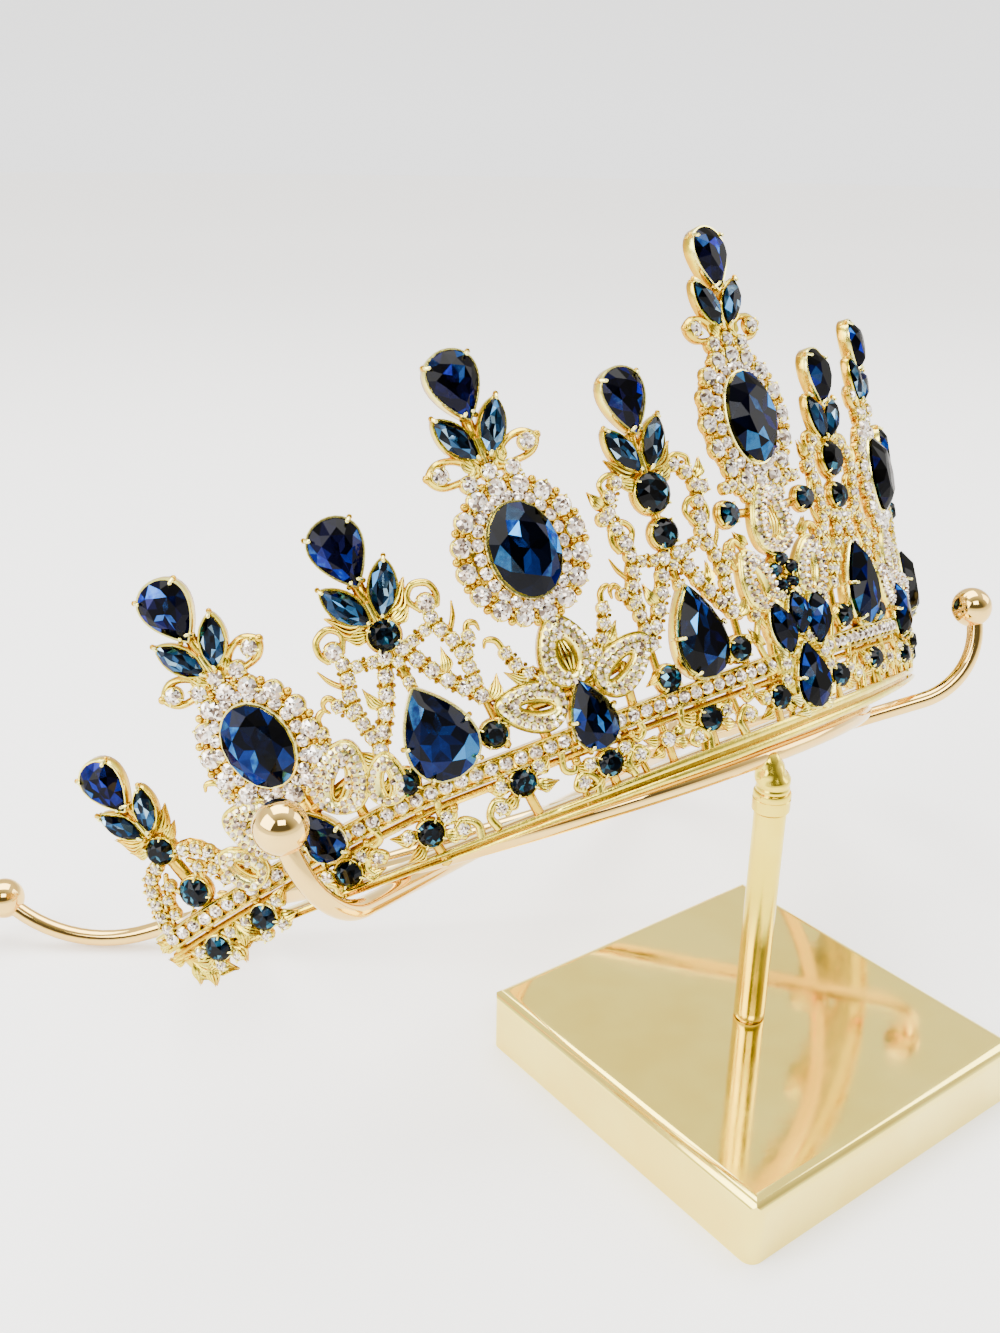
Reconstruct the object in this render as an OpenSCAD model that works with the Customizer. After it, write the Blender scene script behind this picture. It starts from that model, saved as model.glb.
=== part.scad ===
// Crystal tiara with eleven peaks, resting on its own gilt display stand.
// The origin is the centre of the stand's underside, and the tiara faces -Y.

/* [Stand base and post] */
// Side of the square base block
base_side = 72; // [66:1:80]
// Height of the base block
base_height = 13; // [10:0.5:16]
// Radius of the rounded edges of the base block
base_round = 2.4; // [1:0.1:3]
// Diameter of the post
post_d = 6; // [5:0.5:8]
// Diameter of the collar at the top of the post
collar_d = 7; // [6:0.5:9]
// Height of the collar
collar_h = 4; // [3:0.5:6]

/* [Stand head] */
// Height of the hoop's front above the surface that the stand is on
hoop_front_z = 68.6; // [66:0.2:71]
// Radius of the open hoop that carries the tiara
hoop_r = 72.5; // [70:0.5:75]
// Setback of the hoop's front from the post axis
hoop_setback = 2.2; // [1.6:0.2:2.8]
// Backward tilt of the whole head
head_tilt = 30; // [28:1:31]
// Half of the hoop's arc
hoop_half_arc = 128; // [126:1:132]
// Diameter of the hoop and of the two arms
rod_d = 3.6; // [3.4:0.1:3.8]
// Depth of the arms below the plane of the hoop
arm_drop = 3.2; // [3:0.1:3.3]
// Diameter of the four balls
ball_d = 9; // [8:0.5:10]
// Sideways distance of the front balls from the middle plane
front_ball_x = 88; // [87:0.5:89]
// Distance of the front balls behind the hoop's front
front_ball_v = 14.5; // [14:0.5:15]
// Radius of an arm's bend below a front ball
front_bend = 17; // [16:0.5:18]
// Sideways distance of the back balls from the middle plane
back_ball_x = 103; // [102:0.5:104]
// Distance of the back balls behind the hoop's front
back_ball_v = 140; // [139:0.5:141]
// Radius of an arm's bend below a back ball
back_bend = 34; // [33:0.5:35]
// Height of the back balls above the plane of the hoop
back_ball_w = 13.3; // [13:0.1:14]

/* [Tiara shape] */
// Radius of the tiara's base ring at the front
ring_r = 102.5; // [101:0.5:104]
// Outward flare of the tiara's wall
flare = 23.6; // [22:0.2:25]
// Angle from one peak to the next
peak_step = 12.6; // [12.4:0.1:12.8]
// Rise of the base line towards the ends
end_rise = 23.8; // [22:0.2:25]
// Backward lean of the tiara on the stand
lean_back = 48.4; // [48:0.1:49]
// Turn of the tiara on the stand
turn = 5.8; // [5:0.1:6.5]
// Sideways roll of the tiara on the stand
roll = -2.9; // [-3.2:0.1:-2.6]
// Place of the front of the tiara's base line
front_place = [11.8, 2.4, 73.8];

/* [Tiara metal] */
// Thickness of the cast plate
plate = 1.4; // [1.3:0.05:1.5]
// Height of the seats under the larger stones
seat = 0.6; // [0.5:0.1:0.8]
// Gap between a stone and its metal
gap = 0.1; // [0.08:0.01:0.15]
// Rim of metal that shows round a stone
rim = 0.55; // [0.45:0.05:0.7]
// Height of the stones' channel strip above the base line at the front
channel_h = 11.2; // [11:0.1:11.5]
// Width of the channel strip
channel_w = 3.6; // [3.4:0.1:3.8]
// Drop of the channel strip at the two ends
channel_drop = 7; // [6:0.5:8]
// Width of a thin bar of the open work
bar_w = 1.5; // [1.3:0.1:1.8]

/* [Tiara stones] */
// Width of a peak's pear stone
pear_w = 8.6; // [8:0.1:9]
// Length of a peak's pear stone
pear_l = 11.5; // [11:0.1:12]
// Width of a marquise stone
marquise_w = 4.4; // [4:0.1:4.6]
// Length of a marquise stone
marquise_l = 9.2; // [8.8:0.1:9.4]
// Diameter of the small dark blue stones
small_blue = 4.5; // [4:0.1:4.7]
// Diameter of a clear stone in a halo or a loop
halo_stone = 2.7; // [2.4:0.1:2.9]
// Diameter of a clear stone in a strand
strand_stone = 2.3; // [2:0.1:2.5]

/* [Hidden] */
peaks = 11;
middle = 6;
end_step = 5;
// Peaks with an oval stone: steps from the middle, height of the pear, height of the oval,
// its width and length, half width and half length of the halo, stones in it,
// height, width and length of the drop
OVAL_PEAKS = [
    [0, 85, 55.5, 13, 17, 12.4, 13.6, 16, 0, 0, 0],
    [2, 72, 43.5, 12, 16, 11.9, 12.6, 16, 14, 8, 12],
    [4, 55, 29.5, 10.8, 14.6, 10.2, 11.6, 14, 11.4, 6.6, 9],
];
// Peaks with a round stone: steps from the middle, height of the pear, height of the round,
// its diameter, height and diameter of a second round, height, width and length of the big pear
ROUND_PEAKS = [
    [1, 62.5, 46.3, 7, 39, 5.2, 21.2, 10.4, 16.4],
    [3, 53, 38.2, 5.2, 0, 0, 20.4, 11.8, 16],
    [5, 33.6, 19.8, 4.8, 10.8, 5.2, 0, 0, 0],
];
// Stones of a strand beside a big pear: distance from the middle line, height
STRAND = [[1.6, 35], [3.2, 31.6], [4.9, 28.2], [7.1, 25.1], [9.3, 22]];
// Corners of the branch outside the strand: distance from the middle line, height
BRANCH = [[9.3, 12.4], [9.6, 33], [7.9, 37], [8.4, 39.6]];
// Petals of the flower in the middle: x, height, half width, half length, turn
PETALS = [[0, 36.6, 6, 5.4, 0], [-8.2, 26.6, 3.8, 5.6, 18], [8.2, 26.6, 3.8, 5.6, -18]];
// Stones of the cluster in the middle: name, x, height, width, length, turn, cut
CLUSTER = [
    ["cluster_left_stone", -5.4, 17, 5.2, 9.8, 12, "marquise"],
    ["cluster_right_stone", 5.4, 17, 5.2, 9.8, -12, "marquise"],
    ["cluster_top_stone", 0, 18.9, 4.2, 8, 0, "marquise"],
    ["cluster_pear_stone", 0, 7.2, 8.6, 12.2, 0, "pear"],
];
// The two marquises of a tip: distance from the middle line, below the pear, and lean
marquise_x = 3.4;
marquise_below = 8;
marquise_lean = 29;
// The small loops beside a tip's stem: distance from the middle line, and below the pear
loop_x = 8.1;
loop_below = 12.4;
// The loop at the end of a branch
LOOP_END = [8.4, 39.6];
// The small blue stones beside a big pear
side_blue_x = 8.2;
side_blue_h = 15.4;
// Rise of a domed leaf above the plate
leaf_rise = 1.8;
gold = "#e3c66b";
pale_gold = "#e6d79a";
sapphire = "#12264f";
steel_blue = "#2c4d74";
crystal = "#efe6df";
front = plate / 2;
stone_floor = front + gap;
seat_top = front + seat;
seat_floor = seat_top + gap;
post_top = hoop_front_z - 6;
band_half_arc = peak_step * peaks / 2;
// Stations of the band: the middle of each peak and the border between two
STATIONS = [for (i = [-peaks:peaks]) i * peak_step / 2];
// Base rail: lower edge at the front and its rise to the sides, upper edge, and its front
rail_bottom = -2.4;
rail_rise = 2.2;
rail_top = 1.2;
rail_front = 1.2;
// How far the front of the channel strip stands out
channel_front = 1.05;

function ids(word, list) = [for (k = list) str(word, k)];
function peak_kind(k) = abs(k - middle) % 2 == 0 ? "oval" : "round";
ALL_PEAKS = [for (k = [1:peaks]) k];
OVAL_AT = [for (k = ALL_PEAKS) if (peak_kind(k) == "oval") k];
ROUND_AT = [for (k = ALL_PEAKS) if (peak_kind(k) == "round") k];
DROP_AT = [for (k = OVAL_AT) if (k != middle) k];
BIG_AT = [for (k = ROUND_AT) if (abs(k - middle) < 5) k];
SECOND_AT = [for (k = ROUND_AT) if (abs(k - middle) != 3) k];

// A row of a peak table, found by the steps from the middle
function row_of(rows, k) = [for (r = rows) if (r[0] == abs(k - middle)) r][0];
function oval_row(k) = row_of(OVAL_PEAKS, k);
function round_row(k) = row_of(ROUND_PEAKS, k);
function pear_height(k) = peak_kind(k) == "oval" ? oval_row(k)[1] : round_row(k)[1];
// The stones of the two end peaks are a little smaller
function peak_size(k) = abs(k - middle) == 5 ? 0.84 : abs(k - middle) == 4 ? 0.93 : 1;
// Middle of the upper petal and of the right leaf of a bow
function bow_petal(k) = [0, oval_row(k)[2] - oval_row(k)[6] - 5.3];
function bow_leaf(k) = [8.9 * peak_size(k), oval_row(k)[8] + 5.4 * peak_size(k)];

// A point of the tiara's wall: angle round the ring, height up the wall, distance outwards
function wall_s(a, h) = end_rise * (1 - cos(a)) + h;
function wall_r(a, h, n) = ring_r + wall_s(a, h) * sin(flare) + n * cos(flare);
function wall_point(a, h, n) = [
    wall_r(a, h, n) * sin(a),
    ring_r - wall_r(a, h, n) * cos(a),
    wall_s(a, h) * cos(flare) - n * sin(flare),
];
// Middle height of the channel strip, which sinks towards the ends
function channel_at(a) = channel_h - channel_drop * pow(max(0, abs(a) - 40) / (band_half_arc - 40), 1.3);

// Outlines of the stones, centred, with the pear's point towards +Y
function oval_outline(w, l, n) = [for (i = [0:n - 1]) [w / 2 * sin(i * 360 / n), l / 2 * cos(i * 360 / n)]];
function pear_outline(w, l, n) = [for (i = [0:n - 1]) let (t = i * 360 / n)
    [w / 2 * sin(t) * pow(sin(t / 2), 0.9) / 0.788, l / 2 * cos(t)]];
function marquise_outline(w, l, n) = [for (i = [0:n - 1]) let (t = i * 360 / n)
    [w / 2 * sin(t) * abs(sin(t)), l / 2 * cos(t)]];
function outline(kind, w, l, n) = kind == "pear" ? pear_outline(w, l, n)
    : kind == "marquise" ? marquise_outline(w, l, n) : oval_outline(w, l, n);

// A cut stone with a flat back, a girdle, a row of crown facets and a table
module cut_stone(kind, w, l, depth, sides) {
    pts = outline(kind, w, l, sides);
    levels = [[0, 0.88], [depth * 0.4, 1], [depth, 0.56]];
    points = [for (v = levels) for (p = pts) [p[0] * v[1], p[1] * v[1], v[0]]];
    rows = len(levels);
    faces = concat(
        [[for (i = [0:sides - 1]) i]],
        [for (j = [0:rows - 2]) for (i = [0:sides - 1])
            [j * sides + i, (j + 1) * sides + i, (j + 1) * sides + (i + 1) % sides, j * sides + (i + 1) % sides]],
        [[for (i = [sides - 1:-1:0]) (rows - 1) * sides + i]]);
    polyhedron(points, faces);
}

// A small stone with eight facets round its table
module small_stone(kind, w, l, depth) {
    sides = 8;
    pts = outline(kind, w, l, sides);
    points = [for (v = [[0, 1], [depth, 0.56]]) for (p = pts) [p[0] * v[1], p[1] * v[1], v[0]]];
    faces = concat(
        [[for (i = [0:sides - 1]) i]],
        [for (i = [0:sides - 1]) [i, sides + i, sides + (i + 1) % sides, (i + 1) % sides]],
        [[for (i = [sides - 1:-1:0]) sides + i]]);
    polyhedron(points, faces);
}

module small_round(d, depth) {
    small_stone("oval", d, d, depth);
}

// Places its children in the plane of one peak: X sideways, Y up the wall, Z outwards
module on_wall(a) {
    translate(wall_point(a, 0, 0)) rotate([0, 0, a]) rotate([flare + 90, 0, 0]) children();
}
module on_peak(k) {
    on_wall((k - middle) * peak_step) children();
}

// The tiara's own place on the stand
module on_stand() {
    translate(front_place) rotate([-lean_back, 0, 0]) rotate([0, roll, 0]) rotate([0, 0, turn]) children();
}

// A bar of the plate from one point to another, and a chain of bars
module bar(p, q, w = bar_w) {
    v = q - p;
    translate(p) rotate(atan2(v[1], v[0])) translate([-w / 3, -w / 2]) square([norm(v) + w * 2 / 3, w]);
}
module path(points, w = bar_w) {
    for (i = [0:len(points) - 2]) {
        bar(points[i], points[i + 1], w);
    }
}
// Draws its child on the right side, and once more mirrored to the left
module both_sides() {
    children();
    mirror([1, 0]) children();
}
module seat_shape(kind, w, l, sides, edge = rim) {
    polygon(outline(kind, w + 2 * edge, l + 2 * edge, sides));
}
module ellipse(rx, ry, sides) {
    polygon(oval_outline(2 * rx, 2 * ry, sides));
}
module plate_layer(z0 = -front, z1 = front) {
    translate([0, 0, z0]) linear_extrude(z1 - z0) children();
}

// Square base block with rounded edges
module stand_base() {
    color(pale_gold) intersection() {
        linear_extrude(base_height) rounded_square(base_side, base_side);
        translate([0, base_side / 2, 0]) rotate([90, 0, 0]) linear_extrude(base_side) block_side();
        translate([-base_side / 2, 0, 0]) rotate([90, 0, 90]) linear_extrude(base_side) block_side();
    }
}
module rounded_square(w, l) {
    square([w - 2 * base_round, l], center = true);
    square([w, l - 2 * base_round], center = true);
    for (x = [-1, 1], y = [-1, 1]) {
        translate([x * (w / 2 - base_round), y * (l / 2 - base_round)]) circle(r = base_round, $fn = 32);
    }
}
module block_side() {
    translate([-base_side / 2, 0]) square([base_side, base_height - base_round]);
    translate([-base_side / 2 + base_round, 0]) square([base_side - 2 * base_round, base_height]);
    for (x = [-1, 1]) {
        translate([x * (base_side / 2 - base_round), base_height - base_round]) circle(r = base_round, $fn = 32);
    }
}

// Round post with a collar
module stand_post() {
    color(pale_gold) union() {
        translate([0, 0, base_height]) cylinder(h = post_top - base_height, d = post_d, $fn = 32);
        translate([0, 0, post_top - collar_h]) cylinder(h = collar_h, d = collar_d, $fn = 32);
    }
}

// Head of the stand: knuckle on the post, open hoop, and two crossed arms with ball ends
module stand_head() {
    color(gold) union() {
        translate([0, 0, post_top + 0.05]) cylinder(h = 2.2, d = post_d - 0.4, $fn = 32);
        translate([0, hoop_setback, hoop_front_z]) rotate([-head_tilt, 0, 0]) {
            translate([0, 0, -5]) cylinder(h = 5, d = rod_d + 0.4, $fn = 32);
            translate([0, hoop_r, 0]) rotate([0, 0, -90 - hoop_half_arc])
                rotate_extrude(angle = 2 * hoop_half_arc, $fn = 96)
                    translate([hoop_r, 0]) circle(d = rod_d, $fn = 24);
            arm();
            mirror([1, 0, 0]) arm();
        }
    }
}
// One arm from a front ball to the back ball of the other side, under the hoop
module arm() {
    across = front_ball_x + back_ball_x;
    along = back_ball_v - front_ball_v;
    back_turn = acos(1 - (back_ball_w + arm_drop) / back_bend);
    back_reach = back_bend * sin(back_turn);
    straight = norm([across, along]) - front_bend - back_reach;
    translate([-front_ball_x, front_ball_v, -arm_drop]) rotate([0, 0, atan2(along, across)]) {
        translate([0, 0, front_bend]) sphere(d = ball_d, $fn = 48);
        translate([front_bend, 0, front_bend]) rotate([90, 0, 0]) rotate([0, 0, 180]) bend(front_bend, 90);
        translate([front_bend, 0, 0]) rotate([0, 90, 0]) cylinder(h = straight, d = rod_d, $fn = 24);
        translate([front_bend + straight, 0, 0]) {
            translate([0, 0, back_bend]) rotate([90, 0, 0]) rotate([0, 0, -90]) bend(back_bend, back_turn);
            translate([back_reach, 0, back_ball_w + arm_drop]) sphere(d = ball_d, $fn = 48);
        }
    }
}
module bend(r, angle) {
    rotate_extrude(angle = angle, $fn = 96) translate([r, 0]) circle(d = rod_d, $fn = 24);
}

// A strip that follows the wall, with its lower and upper edge at each station, and its two distances
module wall_strip(low, high, n0, n1) {
    steps = len(STATIONS) - 1;
    points = [for (i = [0:steps]) for (c = [[low[i], n0], [high[i], n0], [high[i], n1], [low[i], n1]])
        wall_point(STATIONS[i], c[0], c[1])];
    faces = concat(
        [[0, 1, 2, 3]],
        [for (i = [0:steps - 1]) for (j = [0:3])
            [i * 4 + j, (i + 1) * 4 + j, (i + 1) * 4 + (j + 1) % 4, i * 4 + (j + 1) % 4]],
        [[steps * 4 + 3, steps * 4 + 2, steps * 4 + 1, steps * 4]]);
    polyhedron(points, faces);
}

// Steps of a peak from the middle one, and the height of the channel strip at it
function steps_of(k) = abs(k - middle);
function channel_of(k) = channel_at((k - middle) * peak_step);
// Small blue stones in the band: x and height from the middle of each peak
function band_blue(k) = let (d = steps_of(k))
    d == 0 ? [[-9.4, 5.2], [9.4, 5.2]] :
    d == 1 ? [[sign(k - middle) * 2.4, 6.2]] :
    d == 3 ? [[-8.6, 6], [8.6, 6]] :
    d == end_step ? [[sign(k - middle) * 3.2, 0.8], [sign(middle - k) * 7.6, 0.8]] : [[0, d == 2 ? 5 : 3.7]];

// The band: base rail, channel strip, and bars and seats between them
module band() {
    rail_low = [for (a = STATIONS) rail_bottom + rail_rise * min(1, max(0, abs(a) - peak_step) / 38)];
    wall_strip(rail_low, [for (a = STATIONS) rail_top], -2.6, rail_front);
    wall_strip([for (a = STATIONS) channel_at(a) - channel_w / 2],
        [for (a = STATIONS) channel_at(a) + channel_w / 2], -0.9, channel_front);
    for (k = ALL_PEAKS) {
        on_peak(k) plate_layer() band_bars(k);
    }
    for (side = [-1, 1]) {
        on_wall(side * (band_half_arc - 0.8)) plate_layer(-1, 1.3) {
            bar([0, -1.4], [0, channel_at(band_half_arc) + 1.8], 2.4);
            translate([0, -2.6]) circle(d = 4.2, $fn = 8);
        }
    }
}
module band_bars(k) {
    top = channel_of(k) - 0.8;
    for (b = band_blue(k)) {
        translate(b) circle(d = small_blue + 2 * rim, $fn = 8);
        bar([b[0], 0], [b[0], top], 2);
    }
    slant = steps_of(k) % 2 == 0 ? 4.6 : 3.6;
    if (steps_of(k) < 3) {
        both_sides() bar([slant + 1.4, 0], [slant, top]);
    }
}

// What every peak has at its tip: seats for the pear and the two marquises, and a stem
module tip_shape(k) {
    s = peak_size(k);
    h = pear_height(k);
    translate([0, h]) rotate(180) seat_shape("pear", pear_w * s, pear_l * s, 10);
    both_sides() translate([marquise_x * s, h - marquise_below * s]) rotate(-marquise_lean)
        seat_shape("marquise", marquise_w * s, marquise_l * s, 6, rim + 0.35);
    bar([0, h - 5 * s], [0, h - 12 * s], 2.4);
}

// Lower work of the peaks: an oval in its halo, or a round stone over a big pear
module oval_shape(k) {
    s = peak_size(k);
    r = oval_row(k);
    halo_top = r[2] + r[6];
    loop = [loop_x * s, r[1] - loop_below * s];
    translate([0, r[2]]) ellipse(r[5], r[6], r[7]);
    bar([0, r[1] - 11 * s], [0, halo_top - 1], 3.4);
    both_sides() {
        bar([0.6, loop[1] - 1.6], loop, 2);
        translate(loop) circle(d = halo_stone + 3 * rim, $fn = 6);
    }
    if (k == middle) {
        middle_shape();
    } else {
        bow_shape(k);
    }
}
module middle_shape() {
    translate([0, 26.6]) circle(d = 8.6, $fn = 8);
    bar([0, 23], [0, 33], 3.4);
    translate([0, 12.4]) ellipse(8.4, 11.4, 12);
    both_sides() {
        bar([2, 26.6], [8, 26.6], 3);
        bar([2.6, 38.6], [11.4, 39.2], 2);
        translate([11.4, 39.2]) circle(d = small_blue + 2 * rim, $fn = 8);
    }
}
// Bow of leaves with a drop, under the ovals beside the middle
module bow_shape(k) {
    s = peak_size(k);
    r = oval_row(k);
    translate([0, r[8]]) seat_shape("pear", r[9], r[10], 8);
    bar([0, r[2] - r[6] + 1], [0, channel_of(k) - 1], 3.4);
    both_sides() {
        bar([0, r[8] + 4.4 * s], bow_leaf(k), 2.4);
        bar(bow_leaf(k), [bow_leaf(k)[0] - 1, channel_of(k)], 2);
    }
}
module round_shape(k) {
    r = round_row(k);
    top = r[2] + r[3] / 2;
    translate([0, r[2]]) circle(d = r[3] + 2 * rim, $fn = 8);
    bar([0, top], [0, r[1] - 10 * peak_size(k)], 2.4);
    both_sides() bar([0.6, top], [5.4, top + 2.6], 2);
    if (steps_of(k) == end_step) {
        end_shape(k);
    } else {
        spray_shape(k);
    }
}
module end_shape(k) {
    r = round_row(k);
    translate([0, r[4]]) circle(d = r[5] + 2 * rim, $fn = 8);
    bar([0, r[2]], [0, channel_of(k)], 3);
    both_sides() path([[1, 18.4], [6, 16.6], [9.4, channel_of(k)]], 2.4);
}
module spray_shape(k) {
    r = round_row(k);
    translate([0, r[6]]) seat_shape("pear", r[7], r[8], 12);
    bar([0, r[2]], [0, 27], 2.4);
    bar([0, 15], [0, channel_h - 0.5], 4);
    if (r[4] > 0) {
        translate([0, r[4]]) circle(d = r[5] + 2 * rim, $fn = 8);
    }
    both_sides() {
        path([STRAND[0], STRAND[2], STRAND[4]], strand_stone + 0.2);
        path(BRANCH, 1.9);
        translate(LOOP_END) circle(d = halo_stone + 3 * rim, $fn = 6);
        bar([8.2, 36.4], [1.4, 34.6], 1.6);
        translate([side_blue_x, side_blue_h]) circle(d = small_blue + 2 * rim, $fn = 8);
        if (r[4] > 0) {
            path([LOOP_END, [9.2, 47.6], [4.8, 50.4]], 1.7);
        }
    }
}

// The whole soldered metal of the tiara
module tiara_frame() {
    color(gold) on_stand() {
        band();
        for (k = ALL_PEAKS) {
            on_peak(k) {
                plate_layer() {
                    tip_shape(k);
                    if (peak_kind(k) == "oval") {
                        oval_shape(k);
                    } else {
                        round_shape(k);
                    }
                }
                plate_layer(0, seat_top) raised_seat(k);
                raised_leaves(k);
            }
        }
    }
}
// Seats that lift the largest stones
module raised_seat(k) {
    if (k == middle) {
        translate([0, 12.4]) ellipse(7.8, 10.8, 8);
    }
    if (peak_kind(k) == "oval") {
        translate([0, oval_row(k)[2]]) seat_shape("oval", oval_row(k)[3], oval_row(k)[4], 10);
    } else if (steps_of(k) != end_step) {
        translate([0, round_row(k)[6]]) seat_shape("pear", round_row(k)[7], round_row(k)[8], 8, rim / 2);
    }
}
// Domed leaves and petals that stand out from the plate
module dome(rx, ry) {
    hull() {
        plate_layer(-front, front + 0.2) ellipse(rx, ry, 8);
        plate_layer(front, front + leaf_rise) ellipse(rx / 2, ry / 2, 4);
    }
}
module raised_leaves(k) {
    s = peak_size(k);
    if (k == middle) {
        for (p = PETALS) {
            translate([p[0], p[1], 0]) rotate(p[4]) dome(p[2], p[3]);
        }
    } else if (peak_kind(k) == "oval") {
        if (steps_of(k) == 2) {
            translate(bow_petal(k)) dome(4.8, 5.4);
        }
        both_sides() translate(bow_leaf(k)) rotate(24) dome(5.8 * s, 3.8 * s);
    }
}

// Places a stone on one peak
module set_stone(k, x, h, turn_by, floor_z) {
    on_stand() on_peak(k) translate([x, h, floor_z]) rotate(turn_by) children();
}
module peak_pear_stone(k) {
    s = peak_size(k);
    color(sapphire) set_stone(k, 0, pear_height(k), 180, stone_floor)
        cut_stone("pear", pear_w * s, pear_l * s, 3, 10);
}
module oval_stone(k) {
    r = oval_row(k);
    color(sapphire) set_stone(k, 0, r[2], 0, seat_floor) cut_stone("oval", r[3], r[4], 3.6, 12);
}
module round_stone(k) {
    r = round_row(k);
    color(sapphire) set_stone(k, 0, r[2], 0, stone_floor) cut_stone("oval", r[3], r[3], 2, 10);
}
module second_round(k) {
    r = round_row(k);
    color(sapphire) set_stone(k, 0, r[4], 0, stone_floor) cut_stone("oval", r[5], r[5], 1.8, 10);
}
module big_pear(k) {
    r = round_row(k);
    color(sapphire) set_stone(k, 0, r[6], 0, seat_floor) cut_stone("pear", r[7], r[8], 3.6, 12);
}
module drop_pear(k) {
    r = oval_row(k);
    color(sapphire) set_stone(k, 0, r[8], 0, channel_front + gap) cut_stone("pear", r[9], r[10], 3, 10);
}
module cluster_stone(c) {
    color(sapphire) set_stone(middle, c[1], c[2], c[5], seat_floor) cut_stone(c[6], c[3], c[4], 3, 10);
}

// Two marquises on every peak
module marquise_stones() {
    color(steel_blue) for (k = ALL_PEAKS, side = [-1, 1]) {
        s = peak_size(k);
        set_stone(k, side * marquise_x * s, pear_height(k) - marquise_below * s, -side * marquise_lean, stone_floor)
            small_stone("marquise", marquise_w * s, marquise_l * s, 2);
    }
}

// Small round blue stones of the band, beside the big pears and in the flower
module small_blue_stones() {
    color(sapphire) {
        for (k = ALL_PEAKS, b = band_blue(k)) {
            floor_z = steps_of(k) == end_step ? rail_front + gap : stone_floor;
            set_stone(k, b[0], b[1], 0, floor_z) small_round(small_blue, 1.6);
        }
        for (k = BIG_AT, side = [-1, 1]) {
            set_stone(k, side * side_blue_x, side_blue_h, 0, stone_floor) small_round(small_blue, 1.6);
        }
        for (side = [-1, 1]) {
            set_stone(middle, side * 11.4, 39.2, 0, stone_floor) small_round(small_blue, 1.6);
        }
        for (i = [0:4]) {
            set_stone(middle, 2.6 * sin(i * 72), 26.6 + 2.6 * cos(i * 72), 0, stone_floor) small_round(2.7, 1.4);
        }
    }
}

// Clear stones of the halos, the loops, and the strands beside the big pears
module clear_stones() {
    color(crystal) {
        for (k = OVAL_AT) {
            r = oval_row(k);
            s = peak_size(k);
            for (i = [0:r[7] - 1]) {
                t = i * 360 / r[7];
                set_stone(k, (r[5] - 1.7) * sin(t), r[2] + (r[6] - 1.7) * cos(t), 0, stone_floor)
                    small_round(halo_stone, 1);
            }
            for (side = [-1, 1]) {
                set_stone(k, side * loop_x * s, r[1] - loop_below * s, 0, stone_floor) small_round(halo_stone, 1);
            }
        }
        for (k = BIG_AT, side = [-1, 1]) {
            for (p = STRAND) {
                set_stone(k, side * p[0], p[1], 0, stone_floor) small_round(strand_stone, 0.9);
            }
            set_stone(k, side * LOOP_END[0], LOOP_END[1], 0, stone_floor) small_round(halo_stone, 1);
        }
    }
}

stand_base();
stand_post();
stand_head();
tiara_frame();
for (k = ALL_PEAKS) {
    peak_pear_stone(k);
}
for (k = OVAL_AT) {
    oval_stone(k);
}
for (k = ROUND_AT) {
    round_stone(k);
}
for (k = SECOND_AT) {
    second_round(k);
}
for (k = BIG_AT) {
    big_pear(k);
}
for (k = DROP_AT) {
    drop_pear(k);
}
for (c = CLUSTER) {
    cluster_stone(c);
}
marquise_stones();
small_blue_stones();
clear_stones();
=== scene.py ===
from collections import namedtuple
from math import radians, sin, cos, pi

import bpy
import numpy as np
from mathutils import Matrix, Vector


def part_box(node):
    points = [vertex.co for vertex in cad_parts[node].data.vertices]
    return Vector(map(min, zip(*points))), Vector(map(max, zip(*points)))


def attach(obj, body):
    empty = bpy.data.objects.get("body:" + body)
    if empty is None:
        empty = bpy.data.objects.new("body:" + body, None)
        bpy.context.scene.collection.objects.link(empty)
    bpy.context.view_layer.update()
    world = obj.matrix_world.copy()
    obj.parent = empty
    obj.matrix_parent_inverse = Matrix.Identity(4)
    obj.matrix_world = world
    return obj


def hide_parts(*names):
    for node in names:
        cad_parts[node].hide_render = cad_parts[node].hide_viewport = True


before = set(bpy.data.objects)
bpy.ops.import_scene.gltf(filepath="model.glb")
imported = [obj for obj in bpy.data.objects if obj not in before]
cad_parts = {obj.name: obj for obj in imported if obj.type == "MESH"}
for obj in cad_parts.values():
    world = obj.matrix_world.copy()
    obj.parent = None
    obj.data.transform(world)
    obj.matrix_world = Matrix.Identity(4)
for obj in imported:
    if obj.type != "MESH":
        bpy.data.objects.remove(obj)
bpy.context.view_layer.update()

# Stand base: a heavy square block of steel with rounded edges. It is polished bright and plated
# in pale champagne gold, so its flat top mirrors the hoop and the tiara above it.
def linear(hex_colour):
    parts = [int(hex_colour[i:i + 2], 16) / 255 for i in (1, 3, 5)]
    return [c / 12.92 if c <= 0.04045 else ((c + 0.055) / 1.055) ** 2.4 for c in parts] + [1.0]


def add_node(tree, kind, settings=None, sockets=None):
    node = tree.nodes.new(kind)
    for name, value in (settings or {}).items():
        setattr(node, name, value)
    for name, value in (sockets or {}).items():
        if isinstance(value, bpy.types.NodeSocket):
            tree.links.new(value, node.inputs[name])
        else:
            node.inputs[name].default_value = value
    return node


def set_ramp(node, stops):
    ramp = node.color_ramp
    while len(ramp.elements) < len(stops):
        ramp.elements.new(0.5)
    for element, (position, colour) in zip(ramp.elements, stops):
        element.position = position
        element.color = linear(colour)
    return node.outputs["Color"]


def start_material(name, metallic, roughness):
    material = bpy.data.materials.new(name)
    material.use_nodes = True
    tree = material.node_tree
    tree.nodes.clear()
    shader = add_node(tree, "ShaderNodeBsdfPrincipled", None, {"Metallic": metallic, "Roughness": roughness})
    output = add_node(tree, "ShaderNodeOutputMaterial", None, {"Surface": shader.outputs["BSDF"]})
    output.is_active_output = True
    return material, tree, shader


def frame_place(tree):
    return add_node(tree, "ShaderNodeTexCoord").outputs["Object"]


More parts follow.
